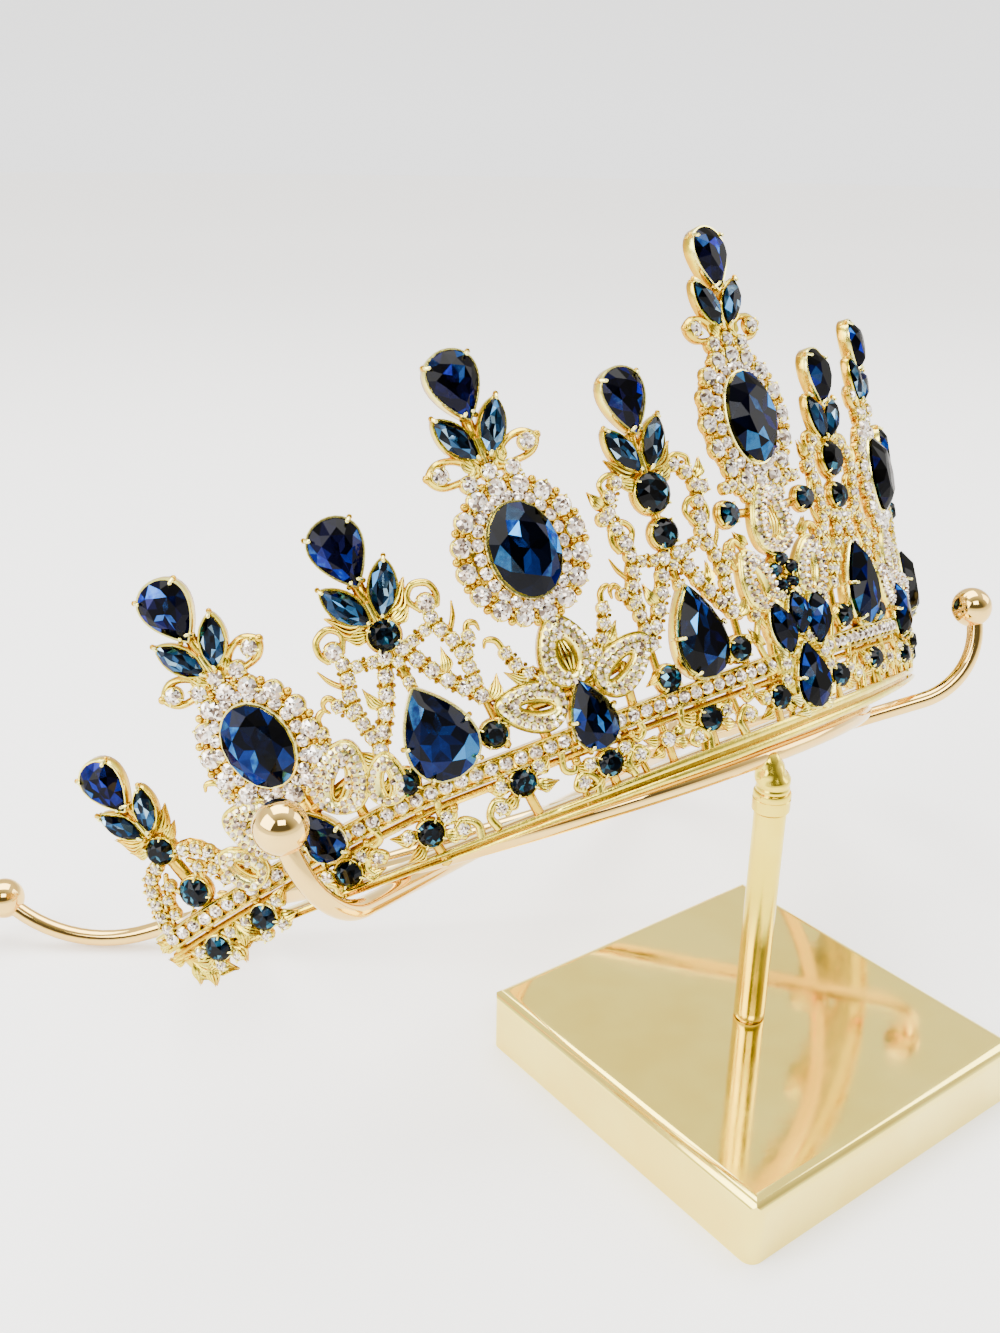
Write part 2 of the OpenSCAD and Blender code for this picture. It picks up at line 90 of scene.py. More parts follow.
def cloudy(tree, spacing_mm, detail=3.0):
    return add_node(tree, "ShaderNodeTexNoise", None, {
        "Vector": frame_place(tree), "Scale": 1000 / spacing_mm, "Detail": detail, "Roughness": 0.55})


def tint_by(tree, shader, level, stops):
    ramp = add_node(tree, "ShaderNodeValToRGB", None, {"Fac": level})
    tree.links.new(set_ramp(ramp, stops), shader.inputs["Base Color"])


def gloss_by(tree, shader, cloud, share, roughness):
    """Gloss that follows a cloudy pattern, between two shares of it."""
    dull = add_node(tree, "ShaderNodeMapRange", None, {
        "Value": cloud.outputs["Fac"], "From Min": share[0], "From Max": share[1],
        "To Min": roughness[0], "To Max": roughness[1]})
    tree.links.new(dull.outputs["Result"], shader.inputs["Roughness"])


def wavy(tree, shader, cloud, depth, strength=1.0):
    bump = add_node(tree, "ShaderNodeBump", None, {
        "Height": cloud.outputs["Fac"], "Distance": depth, "Strength": strength})
    tree.links.new(bump.outputs["Normal"], shader.inputs["Normal"])


# Plated bright gold: polished to a mirror, with a faint waviness of the casting under it and
# fingertip haze that dulls it here and there.
FINGERTIP_MM = 7.0


def plated_gold(name, pale, deep, wave_mm, wave_depth_mm, haze):
    material, tree, shader = start_material(name, 1.0, 0.1)
    tint_by(tree, shader, cloudy(tree, wave_mm * 3).outputs["Fac"], [(0.35, deep), (0.65, pale)])
    gloss_by(tree, shader, cloudy(tree, FINGERTIP_MM, 5.0), (0.35, 0.75), haze)
    wavy(tree, shader, cloudy(tree, wave_mm), wave_depth_mm / 1000)
    return material


champagne_plate = plated_gold("champagne_gold_plate", "#fbe67b", "#f1d866", 9.0, 0.02, (0.06, 0.13))


def wear(node, material):
    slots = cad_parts[node].data.materials
    if not len(slots):
        slots.append(material)
    for i in range(len(slots)):
        slots[i] = material


wear("stand_base", champagne_plate)

# Stand post: a drawn tube screwed into the base, closed by a turned collar with a fine seam ring.
# Its plating is a stronger yellow than the base's, and a little dull from handling.
MM = 0.001


def start_heap():
    return {"points": [], "faces": [], "height": [], "tone": [], "foil": [], "count": 0}


def add_shape(heap, place, points, faces, tones=None, foils=None):
    points = np.asarray(points, float)
    heap["height"].append(points[:, 2])
    heap["points"].append(points @ place[:3, :3].T + place[:3, 3])
    first = heap["count"]
    heap["faces"] += [[first + i for i in face] for face in faces]
    heap["count"] += len(points)
    if tones is not None:
        heap["tone"] += list(tones)
        heap["foil"].append(np.asarray(foils) @ place[:3, :3].T)


def make_piece(name, heap, material, replaced=(), smooth_angle=None):
    mesh = bpy.data.meshes.new(name)
    mesh.from_pydata((np.vstack(heap["points"]) * MM).tolist(), [], heap["faces"])
    mesh.validate()
    if smooth_angle:
        mesh.shade_smooth()
        mesh.set_sharp_from_angle(angle=radians(smooth_angle))
    # The height over each part's own plane drives the painted shade and highlight of the tiara gold.
    height = mesh.attributes.new("height", "FLOAT", "POINT")
    height.data.foreach_set("value", np.concatenate(heap["height"]).astype(np.float32))
    if heap["tone"]:
        tone = mesh.attributes.new("tone", "FLOAT", "FACE")
        tone.data.foreach_set("value", np.array(heap["tone"], np.float32))
        foil = mesh.attributes.new("foil", "FLOAT_VECTOR", "FACE")
        foil.data.foreach_set("vector", np.vstack(heap["foil"]).astype(np.float32).ravel())
    mesh.materials.append(material)
    piece = bpy.data.objects.new(name, mesh)
    bpy.context.scene.collection.objects.link(piece)
    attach(piece, "root")
    if replaced:
        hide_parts(*replaced)


def ring_faces(rings, sides, closed=False, flip=False):
    """The faces between rings of points that follow each other, and from the last to the first if closed."""
    faces = []
    for j in range(rings if closed else rings - 1):
        here, there = j * sides, (j + 1) % rings * sides
        for i in range(sides):
            beside = (i + 1) % sides
            face = [here + i, here + beside, there + beside, there + i]
            faces.append([face[0], face[3], face[2], face[1]] if flip else face)
    return faces


def end_faces(rings, sides):
    """The two flat ends of a stack of rings."""
    last = (rings - 1) * sides
    return [list(range(sides))[::-1], list(range(last, last + sides))]


def turned(profile, sides):
    """A turned solid from the radii and heights of its profile."""
    angles = np.arange(sides) * 2 * pi / sides
    points = [[r * cos(a), r * sin(a), z] for r, z in profile for a in angles]
    return points, ring_faces(len(profile), sides) + end_faces(len(profile), sides)


AS_IS = np.eye(4)
post_low, post_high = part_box("stand_post")
foot = post_low.z / MM
crown = post_high.z / MM
TUBE_R = 3.0
COLLAR_R = 3.5
post = start_heap()
add_shape(post, AS_IS, *turned([
    (TUBE_R - 0.4, foot), (TUBE_R - 0.4, foot + 0.25), (TUBE_R - 0.1, foot + 0.3),
    (TUBE_R, foot + 0.45), (TUBE_R, foot + 2),
    (TUBE_R, crown - 4.3), (TUBE_R - 0.15, crown - 4.2), (TUBE_R - 0.15, crown - 4.05),
    (COLLAR_R - 0.2, crown - 4.0), (COLLAR_R, crown - 3.8), (COLLAR_R, crown - 1.5),
    (COLLAR_R - 0.15, crown - 1.4), (COLLAR_R - 0.15, crown - 1.2), (COLLAR_R, crown - 1.1),
    (COLLAR_R, crown - 0.4), (COLLAR_R - 0.15, crown - 0.1), (COLLAR_R - 0.5, crown)], 64))
tube_plate = plated_gold("yellow_gold_tube_plate", "#eed44a", "#e1c52d", 5.0, 0.015, (0.16, 0.26))
make_piece("post_tube", post, tube_plate, ["stand_post"], 35)

# Stand head: an open hoop of thick wire with two crossed arms brazed under it, and a ball pressed on each
# end. It is plated a little rosier than the base, and shines like a mirror.
rose_plate = plated_gold("rose_gold_plate", "#f2d07e", "#e7bc62", 14.0, 0.02, (0.04, 0.1))
wear("stand_head", rose_plate)
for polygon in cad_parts["stand_head"].data.polygons:
    polygon.use_smooth = True

# Solder of the head: hard solder run round the joint between the post and the hoop's rod. It set in soft
# lumps over a small step on the collar, under the same plating as the post.
solder_draw = np.random.default_rng(17)
SOLDER_SIDES = 48
LUMP_WAVES = 7
LUMP_MM = 0.11
# Height over the table at which the lumps begin, and over how much height they grow to their full size.
LUMPS_FROM, LUMPS_GROW = 63.8, 1.5
# Height, how far it leans back with the joint, and radius of each ring, in millimetres.
SOLDER_RINGS = [
    (62.4, 0.0, 3.0), (62.9, 0.0, 3.18), (63.3, 0.0, 3.12), (63.5, 0.0, 2.95), (63.7, 0.0, 2.93),
    (64.0, 0.05, 3.1), (64.5, 0.15, 3.2), (65.1, 0.35, 3.15), (65.7, 0.65, 3.0), (66.3, 0.95, 2.85),
    (66.9, 1.25, 2.75), (67.5, 1.45, 2.65), (68.1, 1.6, 2.5), (68.7, 1.65, 2.15), (69.2, 1.65, 1.75),
    (69.6, 1.7, 1.35), (69.85, 1.8, 0.8), (69.95, 1.9, 0.3)]
turns = np.arange(SOLDER_SIDES) * 2 * pi / SOLDER_SIDES
waves = [(*solder_draw.uniform(0.5, 1.0, 1), *solder_draw.integers(2, 7, 1),
          *solder_draw.uniform(-3.2, 3.2, 2)) for _ in range(LUMP_WAVES)]
solder_points = []
for z, lean, r in SOLDER_RINGS:
    lumps = sum(size * np.sin(count * turns + climb * z + start) for size, count, climb, start in waves)
    swell = LUMP_MM * lumps * min(1, max(0, (z - LUMPS_FROM) / LUMPS_GROW)) * r / TUBE_R
    solder_points += [[(r + d) * cos(t), (r + d) * sin(t) + lean, z] for t, d in zip(turns, swell)]
rings = len(SOLDER_RINGS)
solder = start_heap()
add_shape(solder, AS_IS, solder_points, ring_faces(rings, SOLDER_SIDES) + end_faces(rings, SOLDER_SIDES))
make_piece("head_solder", solder, tube_plate, (), 50)

# Place of the tiara: its wall is a cone round a ring, turned, rolled and leant back on the stand's head.
# Every peak is cast flat, so its parts are laid out on one plane: x sideways, h up the wall, z outwards.
RING_R = 102.5
END_RISE = 23.8
FLARE_DEGREES = 23.6
FLARE = radians(FLARE_DEGREES)
PEAK_STEP = 12.6
HALF_ARC = PEAK_STEP * 5.5
MIDDLE = 6


def turned_by(degrees, axis):
    return np.array(Matrix.Rotation(radians(degrees), 3, axis))


ON_STAND = turned_by(-48.4, "X") @ turned_by(-2.9, "Y") @ turned_by(5.8, "Z")
FRONT_PLACE = np.array([11.8, 2.4, 73.8])


def wall_point(angle, h, n=0.0):
    a = radians(angle)
    up = END_RISE * (1 - cos(a)) + h
    r = RING_R + up * sin(FLARE) + n * cos(FLARE)
    on_ring = np.array([r * sin(a), RING_R - r * cos(a), up * cos(FLARE) - n * sin(FLARE)])
    return ON_STAND @ on_ring + FRONT_PLACE


def wall_place(angle):
    place = np.eye(4)
    place[:3, :3] = ON_STAND @ turned_by(angle, "Z") @ turned_by(90 + FLARE_DEGREES, "X")
    place[:3, 3] = wall_point(angle, 0)
    return place


def peak_place(k):
    return wall_place((k - MIDDLE) * PEAK_STEP)


def lying(place, x, h, z=0.0, degrees=0.0, tilt=None):
    """The place of a part on its peak, turned in the plane and tilted towards a direction."""
    inner = np.eye(4)
    inner[:3, :3] = turned_by(degrees, "Z")
    if tilt is not None:
        axis = Vector((0, 0, 1)).rotation_difference(Vector(tilt)).to_matrix()
        inner[:3, :3] = np.array(axis) @ inner[:3, :3]
    inner[:3, 3] = [x, h, z]
    return place @ inner


# Heights up the wall and sizes of the stones, in steps from the middle peak.
OvalRow = namedtuple("OvalRow", "tip_h oval_h oval_w oval_l halo_rx halo_ry count drop_h drop_w drop_l")
RoundRow = namedtuple("RoundRow", "tip_h round_h round_d second_h second_d big_h big_w big_l")
OVAL_ROWS = {0: OvalRow(85, 55.5, 13, 17, 12.4, 13.6, 16, 0, 0, 0),
             2: OvalRow(72, 43.5, 12, 16, 11.9, 12.6, 16, 14, 8, 12),
             4: OvalRow(55, 29.5, 10.8, 14.6, 10.2, 11.6, 14, 11.4, 6.6, 9)}
ROUND_ROWS = {1: RoundRow(62.5, 46.3, 7, 39, 5.2, 21.2, 10.4, 16.4),
              3: RoundRow(53, 38.2, 5.2, 0, 0, 20.4, 11.8, 16),
              5: RoundRow(33.6, 19.8, 4.8, 10.8, 5.2, 0, 0, 0)}
PEAKS = range(1, 12)


def steps_of(k):
    return abs(k - MIDDLE)


OVAL_PEAKS = [k for k in PEAKS if steps_of(k) in OVAL_ROWS]
ROUND_PEAKS = [k for k in PEAKS if steps_of(k) in ROUND_ROWS]


def row_of(k):
    return OVAL_ROWS.get(steps_of(k)) or ROUND_ROWS[steps_of(k)]


def peak_size(k):
    return {4: 0.93, 5: 0.84}.get(steps_of(k), 1.0)


CHANNEL_H = 11.2
CHANNEL_FALL = 7
LEVEL_TO = 40


def channel_at(angle):
    """The height of the band's channel, which falls towards both ends of the wall."""
    past = max(0, abs(angle) - LEVEL_TO) / (HALF_ARC - LEVEL_TO)
    return CHANNEL_H - CHANNEL_FALL * past ** 1.3


def channel_of(k):
    return channel_at((k - MIDDLE) * PEAK_STEP)


# Tiara metal: one casting of white metal from many soldered parts, plated in bright yellow gold.
# Painted shade makes the gold darker and more orange low down between the settings, and painted highlight
# makes it pale lemon on what stands out.
# The grain of the casting is finer than the eye sees, and is drawn as coarse as it needs to show.
# The edge of the painted shade wanders by a cloud this wide.
SHADE_CLOUD_MM = 2.5
GRAIN_MM = 0.45


def clouded(tree, attribute, cloud, swing, clamp):
    """A value that the mesh carries, moved up and down by a cloudy pattern."""
    value = add_node(tree, "ShaderNodeAttribute", {"attribute_name": attribute})
    shift = add_node(tree, "ShaderNodeMath", {"operation": "MULTIPLY_ADD"},
                     {0: cloud.outputs["Fac"], 1: swing, 2: -swing / 2})
    level = add_node(tree, "ShaderNodeMath", {"operation": "ADD", "use_clamp": clamp},
                     {0: value.outputs["Fac"], 1: shift.outputs["Value"]})
    return level.outputs["Value"]


def cast_gold(name, back):
    material, tree, shader = start_material(name, 1.0, 0.2)
    share = add_node(tree, "ShaderNodeMapRange", None, {
        "Value": clouded(tree, "height", cloudy(tree, SHADE_CLOUD_MM), 1.2, False),
        "From Min": -1.0, "From Max": 3.0, "To Min": 0.0, "To Max": 1.0})
    # Painted shade and highlight: by its height on its part, the gold runs from the back colour through deep
    # orange low between the settings to pale lemon on the highest parts.
    tint_by(tree, shader, share.outputs["Result"], [
        (0.05, back), (0.22, "#b98512"), (0.4, "#cda61c"), (0.56, "#e4cf42"), (0.8, "#f5ec8c")])
    pores = cloudy(tree, GRAIN_MM, 4.0)
    wavy(tree, shader, pores, 0.00005, 0.6)
    gloss_by(tree, shader, pores, (0.3, 0.7), (0.1, 0.26))
    return material


tiara_gold = cast_gold("cast_yellow_gold", "#e4cb62")
FRONT = 0.7
BACK = -0.7
# The greatest value of the curve that gives a pear its width.
PEAR_WIDEST = 0.788


def outline(kind, w, l, n, start=0.0):
    t = (np.arange(n) + start) * 2 * pi / n
    if kind == "pear":
        x = w / 2 * np.sin(t) * np.abs(np.sin(t / 2)) ** 0.9 / PEAR_WIDEST
    elif kind == "marquise":
        x = w / 2 * np.sin(t) * np.abs(np.sin(t)) ** 0.6
    else:
        x = w / 2 * np.sin(t)
    return np.column_stack([x, l / 2 * np.cos(t)])


def outward(shape):
    along = np.roll(shape, -1, axis=0) - np.roll(shape, 1, axis=0)
    out = np.column_stack([-along[:, 1], along[:, 0]])
    return out / np.linalg.norm(out, axis=1)[:, None]


def rings_round(shape, profile):
    """Rings of points round an outline, from their distances outwards and heights."""
    out = outward(shape)
    return np.vstack([np.column_stack([shape + out * d, np.full(len(shape), z)]) for d, z in profile])


def rim_of(shape, profile):
    """A rim swept round an outline, from a closed profile of distances outwards and heights."""
    return rings_round(shape, profile), ring_faces(len(profile), len(shape), True, True)


def slab(shape, z0, z1, edge=0.25):
    """A plate of an outline, with softened edges."""
    n = len(shape)
    rows = [(-edge, z0), (0, z0 + edge), (0, z1 - edge), (-edge, z1)]
    ends = [end[::-1] for end in end_faces(4, n)]
    return rings_round(shape, rows), ring_faces(4, n, flip=True) + ends


def curve(points, steps, closed=False):
    """A smooth line through points."""
    p = np.asarray(points, float)
    p = np.vstack([p[-1], p, p[0], p[1]]) if closed else np.vstack([2 * p[0] - p[1], p, 2 * p[-1] - p[-2]])
    rows = []
    for i in range(1, len(p) - 2):
        for t in np.arange(steps) / steps:
            rows.append(0.5 * (2 * p[i] + (p[i + 1] - p[i - 1]) * t
                               + (2 * p[i - 1] - 5 * p[i] + 4 * p[i + 1] - p[i + 2]) * t ** 2
                               + (3 * p[i] - p[i - 1] - 3 * p[i + 1] + p[i + 2]) * t ** 3))
    return np.array(rows) if closed else np.array(rows + [p[-2]])


def wire(path, width, thick, sides, closed=False, taper=None):
    """A wire of oval section along a path of x, h, z, with rounded ends."""
    path = np.asarray(path, float)
    n = len(path)
    if closed:
        along = np.roll(path, -1, axis=0) - np.roll(path, 1, axis=0)
    else:
        along = np.gradient(path, axis=0)
    along = along / np.linalg.norm(along, axis=1)[:, None]
    side = np.cross(along, [0.0, 0.0, 1.0])
    weak = np.linalg.norm(side, axis=1) < 0.1
    side[weak] = np.cross(along[weak], [0.0, 1.0, 0.0])
    side = side / np.linalg.norm(side, axis=1)[:, None]
    up = np.cross(side, along)
    size = np.ones(n)
    if taper is not None:
        size = np.interp(np.linspace(0, 1, n), np.linspace(0, 1, len(taper)), taper)
    angles = np.arange(sides) * 2 * pi / sides
    rings = [path[i] + size[i] * (np.outer(np.cos(angles), side[i]) * width / 2
                                  + np.outer(np.sin(angles), up[i]) * thick / 2) for i in range(n)]
    points = np.vstack(rings)
    faces = ring_faces(n, sides, closed, True)
    if not closed:
        reach = min(width, thick) * 0.4
        points = np.vstack([points, path[0] - along[0] * reach * size[0],
                            path[-1] + along[-1] * reach * size[-1]])
        tip = n * sides
        last = tip - sides
        faces += [[tip, j, (j + 1) % sides] for j in range(sides)]
        faces += [[tip + 1, last + (j + 1) % sides, last + j] for j in range(sides)]
    return points, faces


def flat_path(points, z):
    return np.array([[p[0], p[1], z if len(p) < 3 else p[2]] for p in points], float)


def ball(r, sides=8, rows=4):
    turns = np.linspace(-pi / 2, pi / 2, rows + 2)[1:-1]
    return turned([(r * cos(t), r * sin(t)) for t in turns], sides)


metal = start_heap()
sprigs = start_heap()
grains = start_heap()
settings = start_heap()


def mirrored(points, side):
    return [(side * p[0],) + tuple(p[1:]) for p in points]


def bar(place, side, points, w, thick=1.4, z=0.0):
    """A cast bar through points of its peak, on one side or the other."""
    line = flat_path(mirrored(points, side), z)
    if len(line) > 2:
        line = curve(line, 4)
    add_shape(metal, place, *wire(line, w, thick, 10))


def scroll(place, side, points, w, z=0.9, taper=(1, 1)):
    line = curve(flat_path(mirrored(points, side), z), 6)
    add_shape(sprigs, place, *wire(line, w, w, 8, taper=taper))


def grain(place, x, h, z, r, sides=9, rows=5):
    add_shape(grains, lying(place, x, h, z), *ball(r, sides, rows))


def cup(place, x, h, d, z=FRONT, claws=4, turn=45.0, rise=0.75, sides=14):
    """A round cup for a stone of one diameter, with small claws bent over its edge."""
    at = lying(place, x, h)
    r = d / 2
    ring = outline("oval", d, d, sides)
    add_shape(settings, at, *rim_of(ring, [
        (0.26, z - 0.9), (0.3, z + 0.1), (0.22, z + rise * 0.4), (0.04, z + rise * 0.5),
        (-0.1, z + rise * 0.3), (-0.3, z - 0.9)]))
    for i in range(claws):
        a = radians(turn + i * 360 / claws)
        c, s = cos(a), sin(a)
        line = [[(r + 0.32) * c, (r + 0.32) * s, z], [(r + 0.25) * c, (r + 0.25) * s, z + rise],
                [(r - 0.3) * c, (r - 0.3) * s, z + rise + 0.25]]
        add_shape(grains, at, *wire(line, 0.42, 0.42, 6, taper=(0.9, 1.1, 0.9)))


def bezel(place, kind, x, h, w, l, degrees, floor, deep, claws, n=32, wall=0.24):
    """A backing plate with a thin raised wall that holds a large stone, and ball claws at chosen degrees."""
    at = lying(place, x, h, 0, degrees)
    shape = outline(kind, w, l, n)
    add_shape(metal, at, *slab(shape * 1.02, BACK, floor - 0.05))
    add_shape(settings, at, *rim_of(shape, [
        (0.2, BACK + 0.2), (0.42, BACK + 0.5), (0.42, floor + deep * wall - 0.3), (0.28, floor + deep * wall),
        (0.02, floor + deep * wall), (-0.1, floor), (-0.4, floor - 0.2)]))
    by_degree = outline(kind, w, l, 360)
    for edge, out in zip(by_degree[list(claws)], outward(by_degree)[list(claws)]):
        line = [[*(edge + out * 0.35), floor - 0.6], [*(edge + out * 0.5), floor + deep * 0.35],
                [*(edge - out * 0.35), floor + deep * 0.72]]
        add_shape(settings, at, *wire(curve(line, 3), 0.62, 0.62, 7, taper=(1, 1, 1.1)))
        knob = lying(at, *(edge + out * 0.62), floor + deep * 0.3)
        add_shape(settings, knob, *ball(0.5))


# Cut stones: machine-cut glass with a foiled back. Each has a table, a ring of star, kite and girdle facets,
# and the back facets seen through the table. The foil tilts each facet's reflection a little, and painted
# reflection colours the facets light or black one by one at random.
facet_draw = np.random.default_rng(41)
GIRDLE = 0.4
FOOT_SHARE = 0.86
KITE_RISE, KITE_REACH = 0.62, 0.42
STAR_REACH = 0.5


def cut_gem(kind, w, l, deep, mains=8, table=0.56, spread=24.0):
    n = mains * 2
    low = outline(kind, w, l, n)
    mid = outline(kind, w, l, mains, 0.5)
    top = outline(kind, w, l, mains)
    kite_z = deep * (GIRDLE + (1 - GIRDLE) * KITE_RISE)
    rows = [np.column_stack([low * FOOT_SHARE, np.zeros(n)]),
            np.column_stack([low, np.full(n, deep * GIRDLE)]),
            np.column_stack([mid * (table + (1 - table) * KITE_REACH), np.full(mains, kite_z)]),
            np.column_stack([top * table, np.full(mains, deep)]),
            np.column_stack([mid * table * STAR_REACH, np.full(mains, deep)]), [[0, 0, deep]]]
    points = np.vstack(rows)
    # The first points of the girdle, the kites, the table, the star seen through it, and its centre.
    g, m, t, c, o = np.cumsum([len(row) for row in rows])[:5]
    faces = [list(range(n))]
    faces += [[i, g + i, g + (i + 1) % n, (i + 1) % n] for i in range(n)]
    for i in range(mains):
        j = (i + 1) % mains
        before = (i - 1) % mains
        faces += [[m + i, t + i, t + j], [m + before, g + 2 * i, m + i, t + i],
                  [g + 2 * i, g + 2 * i + 1, m + i], [g + 2 * i + 1, g + (2 * i + 2) % n, m + i],
                  [t + i, t + j, c + i], [c + before, t + i, c + i, o]]
    faces = [f if i < n + 1 else facing_up(points, f) for i, f in enumerate(faces)]
    tones = facet_draw.random(len(faces))
    foils = []
    for i, face in enumerate(faces):
        centre = points[face].mean(axis=0)
        normal = face_normal(points, face)
        if i <= n:
            foils.append(normal)
            continue
        lean = radians(facet_draw.uniform(0.35, 1.0) * spread)
        way = np.arctan2(centre[1], centre[0]) + facet_draw.uniform(-0.5, 0.5)
        if centre[2] < deep * 0.999:
            way += pi
        tilted = normal + np.array([cos(way) * sin(lean), sin(way) * sin(lean), 0])
        foils.append(tilted / np.linalg.norm(tilted))
    return points, faces, tones, foils


def face_normal(points, face):
    a, b, c = (points[i] for i in face[:3])
    normal = np.cross(b - a, c - a)
    return normal / max(np.linalg.norm(normal), 1e-9)


def facing_up(points, face):
    return face if face_normal(points, face)[2] > 0 else face[::-1]


def chip(d, deep):
    """A tiny pave stone: eight facets round a table, and a plain underside."""
    low = outline("oval", d, d, 8)
    points = np.vstack([np.column_stack([low, np.zeros(8)]), np.column_stack([low * 0.55, np.full(8, deep)])])
    faces = [face[::-1] for face in ring_faces(2, 8)] + [list(range(8, 16))]
    faces = [facing_up(points, face) for face in faces]
    tones = facet_draw.random(len(faces))
    faces.append(list(range(8)))
    foils = [face_normal(points, f) for f in faces]
    return points, faces, np.append(tones, 0.0), foils


# The cloud in the foil is as wide as the streaks that a glued foil shows; it moves the gloss and the painted
# reflection tone of the facets.
STREAK_MM = 1.6


def foiled_glass(name, stops, metallic, edge, coat):
    material, tree, shader = start_material(name, metallic, 0.12)
    shader.inputs["Specular Tint"].default_value = linear(edge)
    shader.inputs["Coat Weight"].default_value = coat
    shader.inputs["Coat Roughness"].default_value = 0.02
    shader.inputs["Coat IOR"].default_value = 1.5
    streak = cloudy(tree, STREAK_MM)
    # Painted reflection: each facet's random tone picks a colour from near black to bright, which stands in
    # for the dark and light that it reflects.
    tint_by(tree, shader, clouded(tree, "tone", streak, 0.3, True), stops)
    gloss_by(tree, shader, streak, (0.3, 0.7), (0.05, 0.2))
    foil = add_node(tree, "ShaderNodeAttribute", {"attribute_name": "foil"})
    tree.links.new(foil.outputs["Vector"], shader.inputs["Normal"])
    return material


sapphire = foiled_glass("foiled_sapphire_glass", [
    (0.0, "#010206"), (0.5, "#020513"), (0.68, "#051038"), (0.84, "#0a2259"), (0.97, "#2b699c")],
    1.0, "#02030a", 0.17)
violet_sapphire = foiled_glass("foiled_violet_sapphire_glass", [
    (0.0, "#010107"), (0.58, "#030314"), (0.76, "#080934"), (0.91, "#0d1a68"), (0.98, "#28508f")],
    1.0, "#02030a", 0.17)
dark_sapphire = foiled_glass("foiled_dark_sapphire_glass", [
    (0.0, "#010203"), (0.62, "#02050a"), (0.8, "#061420"), (0.92, "#0f384a"), (0.98, "#3c7084")],
    1.0, "#02030a", 0.25)
steel_sapphire = foiled_glass("foiled_steel_blue_glass", [
    (0.0, "#03060b"), (0.46, "#06101c"), (0.66, "#112b46"), (0.85, "#2b5a80"), (0.96, "#86a8bc")],
    1.0, "#060a12", 0.22)
crystal = foiled_glass("foiled_clear_rhinestone", [
    (0.0, "#35281f"), (0.2, "#75604f"), (0.4, "#bda68f"), (0.62, "#ecdccb"), (0.9, "#fffdf6")],
    0.6, "#ffffff", 0.36)
stones = {name: start_heap() for name in (
    "finial_pears", "halo_ovals", "round_stones", "big_pears", "drop_pears", "cluster_stones", "marquises",
    "small_blues", "rhinestones", "pave_stones")}


def set_gem(name, place, kind, x, h, z, w, l, degrees, deep, mains=8, **cut):
    add_shape(stones[name], lying(place, x, h, z, degrees), *cut_gem(kind, w, l, deep, mains, **cut))


def held_gem(name, place, kind, x, h, w, l, degrees, floor, deep, claws, n=32, mains=8, **cut):
    """A large stone in its bezel."""
    bezel(place, kind, x, h, w, l, degrees, floor, deep, claws, n)
    set_gem(name, place, kind, x, h, floor, w, l, degrees, deep, mains, **cut)


def clear_stone(place, x, h, d, z=FRONT):
    """A round clear stone in its own cup."""
    cup(place, x, h, d, z)
    set_gem("rhinestones", place, "oval", x, h, z + 0.1, d, d, facet_draw.uniform(0, 45), 0.42 * d,
            table=0.5, spread=30)


def stone_row(place, side, points, d, pitch, w=None):
    """A bar set with clear stones, evenly spaced along its curve."""
    bar(place, side, points, w or d + 0.2)
    line = flat_path(mirrored(points, side), 0.0)
    if len(points) > 2:
        line = curve(line, 12)
    far = np.append(0, np.cumsum(np.linalg.norm(np.diff(line, axis=0), axis=1)))
    stops = np.linspace(0, far[-1], int(far[-1] / pitch) + 1)
    seats = np.column_stack([np.interp(stops, far, line[:, i]) for i in (0, 1)])
    for seat in seats:
        clear_stone(place, *seat, d)
    for a, b in zip(seats[:-1], seats[1:]):
        aside = np.array([a[1] - b[1], b[0] - a[0]]) / np.linalg.norm(b - a) * (d / 2 + 0.12)
        for spot in ((a + b) / 2 + aside, (a + b) / 2 - aside):
            grain(place, *spot, FRONT + 0.05, 0.42, 7, 3)


def ribbed_leaf(place, side, x0, h0, x1, h1, w, z=0.0):
    """A small pointed leaf, bent like a flame, of five gold ribs that fan out of its foot."""
    a, b = np.array([side * x0, h0]), np.array([side * x1, h1])
    along = b - a
    across = np.array([-along[1], along[0]]) / np.linalg.norm(along)
    belly = a + along * 0.42 + across * 0.14 * np.linalg.norm(along) * (-1 if along[0] > 0 else 1)
    spine = curve(flat_path([a, belly, b], z + 0.15), 6)
    add_shape(sprigs, place, *wire(spine, w, 1.0, 8, taper=(0.4, 0.95, 1, 0.8, 0.45, 0.1)))
    for j in range(-2, 3):
        reach = 1 - 0.17 * abs(j)
        tip = belly + (b - belly) * reach + across * w * 0.13 * j * (1 - reach + 0.3)
        rows = [(*a, z + 0.5), (*(belly + across * w * 0.24 * j), z + 1.15 - 0.14 * abs(j)), (*tip, z + 0.6)]
        add_shape(sprigs, place, *wire(curve(rows, 4), 0.42, 0.6, 5, taper=(1, 1.2, 0.3)))


